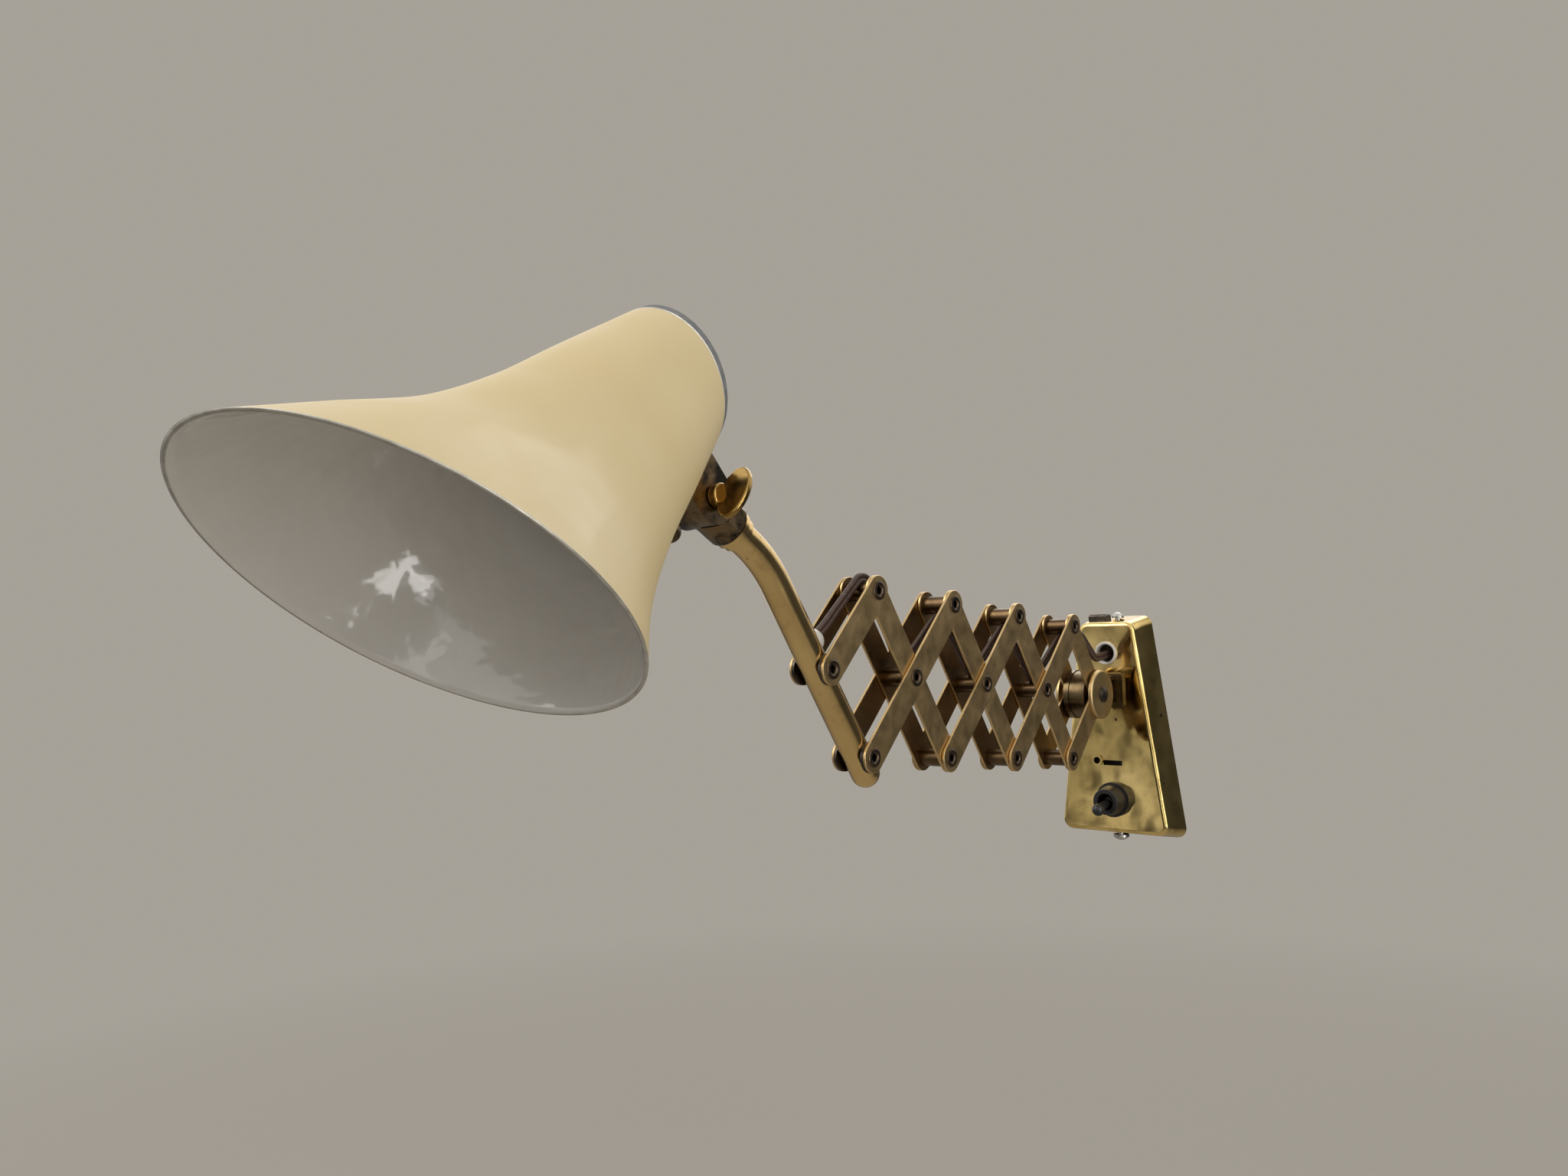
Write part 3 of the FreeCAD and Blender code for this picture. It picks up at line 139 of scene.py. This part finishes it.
# ---- finishes ---------------------------------------------------------------------------------
INWARD_LIMIT = -0.003   # distance from the middle plane, in metres, times the sideways part of the normal
BRASSES = {
    "tube_brass": dict(light=(0.70, 0.50, 0.22), dark=(0.60, 0.41, 0.17),
                       rough=0.15, stain=0.30, grain=45.0, pits=0.12),
    # spacer_brass: very dark, as painted shade for the spacers that sit deep between the straps
    "spacer_brass": dict(light=(0.15, 0.095, 0.045), dark=(0.07, 0.045, 0.025),
                         rough=0.32, stain=0.6, grain=120.0),
    "rivet_brass": dict(light=(0.11, 0.075, 0.045), dark=(0.05, 0.038, 0.028),
                        rough=0.34, stain=0.6, grain=260.0),
    "disc_brass": dict(light=(0.56, 0.41, 0.20), dark=(0.48, 0.34, 0.16),
                       rough=0.34, stain=0.35, grain=70.0),
    # joint_metal: darkened further as painted shade for the drum that sits deep between the strap planes
    "joint_metal": dict(light=(0.19, 0.135, 0.07), dark=(0.085, 0.06, 0.03),
                        rough=0.32, stain=0.6, grain=110.0),
    "thumb_brass": dict(light=(0.38, 0.24, 0.075), dark=(0.24, 0.145, 0.045),
                        rough=0.15, stain=0.5, grain=90.0),
}
ENAMELS = {
    "enamel": dict(light=(0.82, 0.655, 0.345), warm=(0.78, 0.61, 0.305),
                   rough=0.50, ripple=20.0, depth=0.0004),
    "enamel_inside": dict(light=(0.66, 0.63, 0.58), warm=(0.60, 0.57, 0.525),
                          rough=0.09, ripple=75.0, depth=0.0016),
}
PLAINS = {
    "dark_metal": dict(colour=(0.045, 0.04, 0.035), other=(0.10, 0.08, 0.06), rough=0.38, metallic=1.0),
    "screw_steel": dict(colour=(0.55, 0.54, 0.51), other=(0.36, 0.34, 0.31), rough=0.30, metallic=1.0),
    "plate_steel": dict(colour=(0.46, 0.46, 0.45), other=(0.36, 0.36, 0.35), rough=0.42, metallic=1.0),
    "rim_metal": dict(colour=(0.55, 0.52, 0.45), other=(0.40, 0.37, 0.31), rough=0.34, metallic=0.6),
    "cap_metal": dict(colour=(0.17, 0.17, 0.165), other=(0.12, 0.12, 0.118), rough=0.48, metallic=0.5),
    "black_plastic": dict(colour=(0.006, 0.0055, 0.005), other=(0.011, 0.010, 0.009), rough=0.42),
    "white_plastic": dict(colour=(0.74, 0.71, 0.66), other=(0.66, 0.62, 0.55), rough=0.30, coat=0.2),
    "ceramic": dict(colour=(0.74, 0.71, 0.66), other=(0.66, 0.63, 0.58), rough=0.55),
    "flex": dict(colour=(0.055, 0.028, 0.020), other=(0.085, 0.045, 0.030), rough=0.42,
                 grain=500.0, bump=0.0001),
    "bulb_glass": dict(colour=(0.90, 0.89, 0.85), other=(0.86, 0.85, 0.80), rough=0.12,
                       grain=30.0, bump=0.00001),
}

# Solids whose finish differs a little from the one that their slot names
CLOSER = {"arm_tube": "tube_brass", "tube_collar": "tube_brass", "thumb_screw": "thumb_brass",
          "holder_screws": "joint_metal"}


# ---- places worked out ------------------------------------------------------------------------
def arm_point(out, up):
    """Point in the arm's middle plane, measured along and across the tilted arm from its wall pivot."""
    y = -PIVOT_OUT - out * math.cos(ARM_TILT) + up * math.sin(ARM_TILT)
    z = PIVOT_Z + out * math.sin(ARM_TILT) + up * math.cos(ARM_TILT)
    return Vector((0, y, z))


def pin_point(name):
    """Middle of a rivet column: F on the tube, or top, middle or bottom row, counted back from the tube."""
    if name == "F":
        return arm_point(2 * CELLS * CELL, 0)
    row, k = name[0], int(name[1])
    if row == "M":
        return arm_point(2 * (CELLS - k) * CELL, 0)
    return arm_point((2 * (CELLS - k) - 1) * CELL, RISE if row == "T" else -RISE)


def near_pin(name, up, out=0.0):
    """Point beside a rivet column, measured in the tilted arm."""
    ahead = Vector((0, -math.cos(ARM_TILT), math.sin(ARM_TILT)))
    above = Vector((0, math.sin(ARM_TILT), math.cos(ARM_TILT)))
    return pin_point(name) + above * up + ahead * out


TUBE_SLOPE = LINK_ANGLE + ARM_TILT - TUBE_BEND
TUBE_UP = (pin_point("F") - pin_point("B0")).normalized()
TUBE_AFTER = Vector((0, -math.cos(TUBE_SLOPE), math.sin(TUBE_SLOPE)))
BUSH_DIR = TUBE_UP.cross(X_AXIS)
BUSH_POINT = pin_point("F") + TUBE_UP * BUSH_FROM_PIN
HEAD_PIVOT = Vector(next(j for j in frame["joints"] if j["name"] == "shade_tilt")["pos_m"]) / MM


# ---- node helpers -----------------------------------------------------------------------------
def scaled(colour, share):
    return tuple(v * share for v in colour)


class Tree:
    """Short calls that build a node tree."""

    def __init__(self, tree, coords):
        self.tree = tree
        self.places = self.add("ShaderNodeTexCoord").outputs
        self.coords = self.places[coords]

    def add(self, kind, **settings):
        node = self.tree.nodes.new(kind)
        for key, value in settings.items():
            setattr(node, key, value)
        return node

    def plug(self, value, socket):
        """Feed a socket from another one, or give it a number or a colour."""
        if isinstance(value, bpy.types.NodeSocket):
            self.tree.links.new(value, socket)
        elif isinstance(value, tuple):
            socket.default_value = (*value, 1)
        else:
            socket.default_value = value

    def calc(self, operation, *values):
        node = self.add("ShaderNodeMath", operation=operation)
        for value, socket in zip(values, node.inputs):
            self.plug(value, socket)
        return node.outputs[0]

    def split(self, vector):
        node = self.add("ShaderNodeSeparateXYZ")
        self.plug(vector, node.inputs[0])
        return node.outputs

    def noise(self, scale, detail=4.0, roughness=0.55, vector=None):
        node = self.add("ShaderNodeTexNoise")
        node.inputs["Scale"].default_value = scale
        node.inputs["Detail"].default_value = detail
        node.inputs["Roughness"].default_value = roughness
        self.plug(vector or self.coords, node.inputs["Vector"])
        return node.outputs["Fac"]

    def ramp(self, source, stops):
        """Greys or colours at their places, with straight runs between them."""
        node = self.add("ShaderNodeValToRGB")
        elements = node.color_ramp.elements
        while len(elements) < len(stops):
            elements.new(0.5)
        for element, (place, value) in zip(elements, stops):
            element.position = place
            colour = value if isinstance(value, tuple) else (value, value, value)
            element.color = (*colour, 1)
        self.plug(source, node.inputs["Fac"])
        return node.outputs["Color"]

    def fade(self, source, start, stop, low=0.0, high=1.0):
        """Low up to start, high from stop on."""
        return self.ramp(source, ((start, low), (stop, high)))

    def mix(self, factor, a, b):
        node = self.add("ShaderNodeMix", data_type="RGBA")
        for index, value in ((0, factor), (6, a), (7, b)):
            self.plug(value, node.inputs[index])
        return node.outputs[2]

    def mix_shaders(self, factor, a, b):
        node = self.add("ShaderNodeMixShader")
        for value, socket in zip((factor, a, b), node.inputs):
            self.plug(value, socket)
        return node.outputs[0]

    def background(self, colour, strength=1.0):
        node = self.add("ShaderNodeBackground")
        self.plug(colour, node.inputs["Color"])
        self.plug(strength, node.inputs["Strength"])
        return node.outputs[0]


class Surface(Tree):
    """One material: a principled shader and the nodes that feed it."""

    def __init__(self, name):
        self.material = bpy.data.materials.new(name)
        self.material.use_nodes = True
        super().__init__(self.material.node_tree, "Object")
        self.shader = self.tree.nodes["Principled BSDF"]

    def set(self, name, value):
        self.plug(value, self.shader.inputs[name])

    def bump(self, height, distance, strength=1.0):
        node = self.add("ShaderNodeBump")
        self.plug(distance, node.inputs["Distance"])
        self.plug(strength, node.inputs["Strength"])
        self.plug(height, node.inputs["Height"])
        self.set("Normal", node.outputs["Normal"])

    def stretched(self, scale):
        mapping = self.add("ShaderNodeMapping")
        mapping.inputs["Scale"].default_value = scale
        self.plug(self.coords, mapping.inputs["Vector"])
        return mapping.outputs["Vector"]

    def spots(self, scale, size, patches, start, stop):
        """1 inside round spots that come in patches, 0 elsewhere."""
        cells = self.add("ShaderNodeTexVoronoi")
        self.plug(scale, cells.inputs["Scale"])
        self.plug(self.coords, cells.inputs["Vector"])
        dots = self.ramp(cells.outputs["Distance"], ((0.0, 1.0), (size * 0.6, 1.0), (size, 0.0)))
        return self.calc("MULTIPLY", dots, self.fade(self.noise(patches, 2.0), start, stop))

    def inner_shade_mask(self):
        """1 on faces that look towards the middle plane of the arm, 0 elsewhere: where painted shade goes.
        """
        place = self.split(self.coords)["X"]
        facing = self.split(self.places["Normal"])["X"]
        return self.calc("LESS_THAN", self.calc("MULTIPLY", place, facing), INWARD_LIMIT)


# ---- materials --------------------------------------------------------------------------------
def brass_material(name, light, dark, rough, stain, grain, pits=0.0):
    """Aged brass: two tones in soft clouds, darker stains and optional pits."""
    n = Surface(name)
    n.set("Metallic", 1.0)
    tone = n.mix(n.fade(n.noise(grain, 5.0, 0.6), 0.30, 0.70), light, dark)
    stains = n.fade(n.noise(grain * 2.3, 8.0, 0.7), 0.56, 0.74, high=stain)
    tone = n.mix(stains, tone, (0.10, 0.06, 0.03))
    if pits:
        tone = n.mix(n.spots(150.0, pits, 35.0, 0.52, 0.60), tone, (0.04, 0.02, 0.01))
    n.set("Base Color", tone)
    n.set("Roughness", n.fade(n.noise(grain * 0.8, 6.0, 0.65), 0.3, 0.7, rough * 0.75, rough * 1.35))
    n.bump(n.noise(900.0, 3.0), 0.000008)
    return n.material


def strap_material():
    """Satin brass strip with a fine drawn grain, a few dark specks and painted shade on the inner faces."""
    n = Surface("strap_brass")
    n.set("Metallic", 1.0)
    tone = n.mix(n.fade(n.noise(55.0, 6.0, 0.6), 0.30, 0.70), (0.60, 0.43, 0.21), (0.50, 0.345, 0.16))
    tone = n.mix(n.fade(n.noise(170.0, 8.0, 0.7), 0.58, 0.76, high=0.45), tone, (0.20, 0.12, 0.05))
    tone = n.mix(n.spots(420.0, 0.10, 60.0, 0.50, 0.58), tone, (0.06, 0.035, 0.02))
    # painted shade: faces that look into the arm, between the two planes of straps, are darkened
    tone = n.mix(n.calc("MULTIPLY", n.inner_shade_mask(), 0.72), tone, (0.16, 0.085, 0.035))
    n.set("Base Color", tone)
    n.set("Roughness", n.fade(n.noise(130.0, 5.0, 0.6), 0.3, 0.7, 0.30, 0.46))
    n.bump(n.noise(1400.0, 2.0, 0.5, n.stretched((1.0, 0.25, 0.25))), 0.00002)
    return n.material


def cover_material():
    """Mirror-polished thin sheet: slightly wavy, with olive tarnish and dark spots."""
    n = Surface("cover_brass")
    n.set("Metallic", 1.0)
    tone = n.mix(n.fade(n.noise(32.0, 4.0, 0.5), 0.35, 0.65), (0.78, 0.58, 0.235), (0.68, 0.49, 0.18))
    olive = n.fade(n.noise(17.0, 3.0, 0.55), 0.44, 0.56, high=0.62)
    tone = n.mix(olive, tone, (0.30, 0.215, 0.07))
    tarnish = n.fade(n.noise(75.0, 9.0, 0.68), 0.53, 0.66, high=0.50)
    tone = n.mix(tarnish, tone, (0.24, 0.16, 0.06))
    tone = n.mix(n.spots(90.0, 0.13, 40.0, 0.54, 0.60), tone, (0.05, 0.03, 0.02))
    n.set("Base Color", tone)
    n.set("Roughness", n.fade(n.noise(60.0, 7.0, 0.65), 0.40, 0.72, 0.05, 0.18))
    n.bump(n.noise(34.0, 2.0, 0.45), 0.0022, 0.7)
    return n.material


def knuckle_material():
    """Plated casting worn through in dark patches, warm brown between them."""
    n = Surface("knuckle_metal")
    n.set("Metallic", 1.0)
    patches = n.fade(n.noise(95.0, 7.0, 0.62), 0.42, 0.56)
    n.set("Base Color", n.mix(patches, (0.022, 0.018, 0.014), (0.17, 0.115, 0.06)))
    n.set("Roughness", n.fade(n.noise(150.0, 5.0), 0.35, 0.65, 0.16, 0.42))
    n.bump(n.noise(320.0, 5.0), 0.00005)
    return n.material


def enamel_material(name, light, warm, rough, ripple, depth):
    """Stove enamel with faint clouding, hairline dirt and a soft gloss."""
    n = Surface(name)
    tone = n.mix(n.fade(n.noise(14.0, 5.0, 0.55), 0.30, 0.72), light, warm)
    grime = n.fade(n.noise(120.0, 9.0, 0.75), 0.60, 0.80, high=0.30)
    n.set("Base Color", n.mix(grime, tone, scaled(warm, 0.72)))
    n.set("Roughness", n.fade(n.noise(45.0, 5.0), 0.3, 0.7, rough * 0.85, rough * 1.2))
    n.set("Coat Weight", 0.12)
    n.set("Coat Roughness", 0.12)
    n.bump(n.noise(ripple, 2.0, 0.5), depth, 0.5)
    return n.material


def plain_material(name, colour, other, rough, metallic=0.0, grain=200.0, bump=0.00003, coat=0.0):
    """Two close tones in fine clouds, for small parts of plastic, steel, glass or porcelain."""
    n = Surface(name)
    n.set("Metallic", metallic)
    n.set("Base Color", n.mix(n.fade(n.noise(grain, 5.0), 0.35, 0.65), colour, other))
    n.set("Roughness", n.fade(n.noise(grain * 1.5, 4.0), 0.3, 0.7, rough * 0.8, rough * 1.25))
    n.set("Coat Weight", coat)
    n.bump(n.noise(grain * 4, 3.0), bump)
    return n.material


def all_materials():
    made = {"strap_brass": strap_material(), "cover_brass": cover_material(),
            "knuckle_metal": knuckle_material()}
    for kind, table in ((brass_material, BRASSES), (enamel_material, ENAMELS), (plain_material, PLAINS)):
        for name, values in table.items():
            made[name] = kind(name, **values)
    bulb = made["bulb_glass"].node_tree.nodes["Principled BSDF"]
    bulb.inputs["Subsurface Weight"].default_value = 0.4
    bulb.inputs["Subsurface Radius"].default_value = (0.01, 0.01, 0.01)
    return made


MATERIALS = all_materials()


def dress_cad():
    """Every solid takes the material of its own slot; a few take a closer one."""
    for part in frame["record"]["subparts"]:
        name = CLOSER.get(part["node"], part["material_slot"])
        node = frame["nodes"][part["node"]]
        node.data.materials.clear()
        node.data.materials.append(MATERIALS[name])


# ---- object helpers ---------------------------------------------------------------------------
def in_scene(name, data):
    obj = bpy.data.objects.new(name, data)
    bpy.context.scene.collection.objects.link(obj)
    return obj


def mesh_object(name, bm, materials):
    """New object in the scene from a finished bmesh, which is freed."""
    mesh = bpy.data.meshes.new(name)
    bm.to_mesh(mesh)
    bm.free()
    for material in materials:
        mesh.materials.append(material)
    return in_scene(name, mesh)


# ---- shade: outside, inside and rim with their own finishes -----------------------------------
def shade_matrix():
    """From the shade's own frame, in millimetres, to the room, in metres."""
    along = Vector((0, -math.cos(SHADE_SLOPE), -math.sin(SHADE_SLOPE)))
    upper = Vector((0, -math.sin(SHADE_SLOPE), math.cos(SHADE_SLOPE)))
    origin = HEAD_PIVOT + upper * SHADE_OFFSET - along * SHADE_PIVOT
    place = Matrix(((1, 0, 0, origin.x), (0, upper.y, along.y, origin.y),
                    (0, upper.z, along.z, origin.z), (0, 0, 0, 1)))
    pivot = Matrix.Translation(HEAD_PIVOT)
    turn = pivot @ Matrix.Rotation(HEAD_TURN, 4, TUBE_AFTER) @ pivot.inverted()
    return Matrix.Scale(MM, 4) @ turn @ place


def profile_radius(t):
    """Smooth curve through the profile's stations (Catmull-Rom)."""
    points = SHADE_PROFILE
    i = 0
    while i < len(points) - 2 and t > points[i + 1][0]:
        i += 1
    (t0, r0), (t1, r1) = points[i], points[i + 1]
    before = points[i - 1] if i else (2 * t0 - t1, 2 * r0 - r1)
    beyond = points[i + 2] if i + 2 < len(points) else (2 * t1 - t0, 2 * r1 - r0)
    m0 = (r1 - before[1]) / (t1 - before[0])
    m1 = (beyond[1] - r0) / (beyond[0] - t0)
    s = (t - t0) / (t1 - t0)
    h = t1 - t0
    return ((2 * s ** 3 - 3 * s ** 2 + 1) * r0 + (s ** 3 - 2 * s ** 2 + s) * h * m0
            + (-2 * s ** 3 + 3 * s ** 2) * r1 + (s ** 3 - s ** 2) * h * m1)


def cut_at(angle, length, slant, shrink):
    """Distance along the axis at which a meridian meets a slanted end plane."""
    t = length
    for _ in range(CUT_ROUNDS):
        t = length + (profile_radius(t) - shrink) * math.cos(angle) * math.tan(slant)
    return t


def shade_meridian(angle):
    """Radius and distance along the axis, down the outside and back up the inside."""
    meridian = []
    for shrink, steps in ((0, OUTER_STEPS), (SHADE_WALL, INNER_STEPS)):
        neck = cut_at(angle, 0.0, -NECK_SLANT, shrink)
        mouth = cut_at(angle, SHADE_LENGTH, MOUTH_SLANT, shrink)
        for step in steps:
            t = neck + (mouth - neck) * step
            meridian.append((profile_radius(t) - shrink, t))
    return meridian


def shade_skin():
    """One closed shell: outer skin, inner skin, and bare metal rims between them."""
    outside, inside, rim = range(3)
    bm = bmesh.new()
    rings = []
    for i in range(SKIN_AROUND):
        angle = 2 * math.pi * i / SKIN_AROUND
        rings.append([bm.verts.new((r * math.sin(angle), r * math.cos(angle), t))
                      for r, t in shade_meridian(angle)])
    count = len(rings[0])
    mouth_edge = len(OUTER_STEPS) - 1
    bands = [outside] * mouth_edge + [inside] * (count - mouth_edge)
    for j in (0, mouth_edge - 1, mouth_edge, count - 1):
        bands[j] = rim
    for i, ring in enumerate(rings):
        beside = rings[(i + 1) % SKIN_AROUND]
        for j in range(count):
            k = (j + 1) % count
            face = bm.faces.new((ring[j], beside[j], beside[k], ring[k]))
            face.smooth = True
            face.material_index = bands[j]
    bmesh.ops.recalc_face_normals(bm, faces=bm.faces)
    finishes = [MATERIALS[name] for name in ("enamel", "enamel_inside", "rim_metal")]
    shade = mesh_object("shade_skin", bm, finishes)
    shade.data.transform(shade_matrix())
    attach(shade, "head")
    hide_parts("shade")


# ---- flex: two cores side by side, in pieces along its route ----------------------------------
def cord_route():
    """Corner, bend radius, piece: the same route as the solid flex."""
    return [(Vector((0, -8, 22)), 0, None),
            (Vector((0, -8, 40.95)), 5.0, "box"),
            (Vector((0, -32.0, 38.8)), 7.0, "swivel"),
            (Vector((0, -48.0, 52.4)), 11.0, "tilt"),
            (Vector((0, -57.5, 52.8)), 10.0, "fold"),
            (near_pin("T3", -5.2), 10.0, "t3"),
            (near_pin("M3", 3.6), 6.0, "m3"),
            (near_pin("T2", -3.6), 6.0, "t2"),
            (near_pin("M2", 3.6), 6.0, "m2"),
            (near_pin("T1", -3.6), 6.0, "t1"),
            (near_pin("M1", 3.6), 6.0, "m1"),
            (near_pin("T0", 8.66, -0.7), 5.6, "t0"),
            (BUSH_POINT + BUSH_DIR * 15.0, 30.0, "entry"),
            (BUSH_POINT, 4.0, "entry"),
            (BUSH_POINT + TUBE_UP * 14, 0, None)]


CORD_BODIES = {"swivel": ("wall", "swivel"), "tilt": ("swivel", "hub"), "fold": ("hub", "inner_wall"),
               "t3": ("inner_wall", "outer_3"), "m3": ("outer_3", "inner_3"), "t2": ("inner_3", "outer_2"),
               "m2": ("outer_2", "inner_2"), "t1": ("inner_2", "outer_1"), "m1": ("outer_1", "inner_1"),
               "t0": ("inner_1", "outer_front"), "entry": ("outer_front", "tube")}


def rounded(points, radii):
    """Even points along straight runs joined by tangent arcs."""
    path = [points[0]]
    for before, corner, after, radius in zip(points, points[1:], points[2:], radii):
        d0 = (corner - before).normalized()
        d1 = (after - corner).normalized()
        turn = d0.angle(d1)
        reach = radius * math.tan(turn / 2)
        start = corner - d0 * reach
        centre = start + (d1 - d0 * d0.dot(d1)).normalized() * radius
        spokes = max(4, int(turn * radius / FLEX_STEP) + 1)
        axis = d0.cross(d1).normalized()
        for j in range(spokes + 1):
            path.append(centre + Matrix.Rotation(turn * j / spokes, 3, axis) @ (start - centre))
    path.append(points[-1])
    dense = [path[0]]
    for a, b in zip(path, path[1:]):
        count = max(1, int((b - a).length / FLEX_STEP))
        dense += [a.lerp(b, (j + 1) / count) for j in range(count)]
    return dense


def flex_section():
    """Two lobes with a groove between them."""
    groove = math.acos(FLEX_APART / FLEX_CORE)
    section = []
    for side in (1, -1):
        for j in range(FLEX_SIDES + 1):
            a = -math.pi + groove + (2 * math.pi - 2 * groove) * j / FLEX_SIDES
            section.append((side * (FLEX_APART + FLEX_CORE * math.cos(a)), side * FLEX_CORE * math.sin(a)))
    return section


def flex_mesh(name, path):
    """The twin-core section swept along a path in the arm's plane."""
    section = flex_section()
    size = len(section)
    bm = bmesh.new()
    rings = []
    for i, p in enumerate(path):
        ahead = (path[min(i + 1, len(path) - 1)] - path[max(i - 1, 0)]).normalized()
        across = ahead.cross(X_AXIS).normalized()
        rings.append([bm.verts.new((p + X_AXIS * v + across * u) * MM) for u, v in section])
    for a, b in zip(rings, rings[1:]):
        for j in range(size):
            face = bm.faces.new((a[j], a[(j + 1) % size], b[(j + 1) % size], b[j]))
            face.smooth = True
    for ring in (rings[0], rings[-1]):
        bm.faces.new(ring)
    bmesh.ops.recalc_face_normals(bm, faces=bm.faces)
    obj = mesh_object(name, bm, [MATERIALS["flex"]])
    return obj


def flex():
    """Each piece goes round its corner, from midway along one run to midway along the next."""
    route = cord_route()
    points = [corner for corner, radius, piece in route]
    runs = {}
    last = len(route) - 2
    for i in range(1, last + 1):
        corner, radius, piece = route[i]
        start = points[0] if i == 1 else (points[i - 1] + corner) * 0.5
        stop = points[-1] if i == last else (corner + points[i + 1]) * 0.5
        runs.setdefault(piece, []).append((start, corner, stop, radius))
    for name, parts in runs.items():
        starts, corners, stops, radii = zip(*parts)
        path = rounded([starts[0], *corners, stops[-1]], radii)
        obj = flex_mesh("flex_" + name, path)
        if name in CORD_BODIES:
            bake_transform(obj)
        else:
            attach(obj, "wall")
        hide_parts("cord_" + name)


# ---- stage, light and camera ------------------------------------------------------------------
def world():
    """Even pale backdrop for the camera; bright above and dim below for gloss; a soft fill for the rest."""
    studio = bpy.data.worlds.new("studio")
    bpy.context.scene.world = studio
    studio.use_nodes = True
    studio.node_tree.nodes.clear()
    n = Tree(studio.node_tree, "Generated")
    ray = n.add("ShaderNodeLightPath").outputs
    direction = n.split(n.coords)
    height = n.calc("MULTIPLY_ADD", direction["Z"], 0.5, 0.5 - GLOSS_PATCH_SHARE / 2)
    patches = n.noise(GLOSS_PATCH_SCALE, 1.0, 0.5)
    broken = n.calc("MULTIPLY_ADD", patches, GLOSS_PATCH_SHARE, height)
    leaning = n.calc("MULTIPLY_ADD", direction["X"], GLOSS_LEAN, broken)
    bands = [(place, scaled(GLOSS_TINT, value)) for place, value in GLOSS_BANDS]
    gloss = n.background(n.ramp(leaning, bands))
    fill = n.background(FILL_TONE, FILL_STRENGTH)
    room = n.mix_shaders(ray["Is Glossy Ray"], fill, gloss)
    seen_straight = n.calc("MAXIMUM", ray["Is Camera Ray"], ray["Is Transmission Ray"])
    all_rays = n.mix_shaders(seen_straight, room, n.background(BACKDROP))
    n.plug(all_rays, n.add("ShaderNodeOutputWorld").inputs["Surface"])


def floor():
    """Round pale floor that fades into the backdrop away from the lamp."""
    n = Surface("floor")
    n.set("Base Color", n.mix(n.noise(1.5, 3.0), FLOOR_TONE, scaled(FLOOR_TONE, 0.985)))
    n.set("Roughness", 0.9)
    n.set("Specular IOR Level", 0.1)
    far = n.add("ShaderNodeVectorMath", operation="LENGTH")
    n.plug(n.coords, far.inputs[0])
    fade = n.ramp(n.calc("MULTIPLY", far.outputs["Value"], 1 / FLOOR_RADIUS), FLOOR_FADE)
    clear = n.add("ShaderNodeBsdfTransparent").outputs[0]
    faded = n.mix_shaders(fade, clear, n.shader.outputs[0])
    n.plug(faded, n.tree.nodes["Material Output"].inputs["Surface"])
    bm = bmesh.new()
    bmesh.ops.create_circle(bm, cap_ends=True, segments=96, radius=FLOOR_RADIUS)
    obj = mesh_object("floor", bm, [n.material])
    obj.location = FLOOR_AT


def camera():
    data = bpy.data.cameras.new("camera")
    data.lens = CAMERA_LENS
    data.sensor_width = CAMERA_SENSOR
    data.clip_start = 0.01
    obj = in_scene("camera", data)
    basis = (Matrix.Rotation(CAMERA_YAW, 3, "Z") @ Matrix.Rotation(CAMERA_PITCH, 3, "X")
             @ Matrix.Rotation(CAMERA_ROLL, 3, "Y"))
    right, ahead, up = basis.col
    turn = Matrix((right, up, -ahead)).transposed().to_4x4()
    obj.matrix_world = Matrix.Translation(CAMERA_AT) @ turn
    bpy.context.scene.camera = obj


def lights():
    for name, at, aim, size, watts, colour, lights_matt in LIGHTS:
        data = bpy.data.lights.new(name, "AREA")
        data.shape = "RECTANGLE"
        data.size, data.size_y = size
        data.energy = watts
        data.color = colour
        lamp = in_scene(name, data)
        lamp.location = at
        lamp.rotation_euler = (Vector(aim) - Vector(at)).to_track_quat("-Z", "Y").to_euler()
        lamp.visible_diffuse = lights_matt


dress_cad()
shade_skin()
flex()
world()
floor()
camera()
lights()
bpy.context.scene.view_settings.view_transform = "Standard"
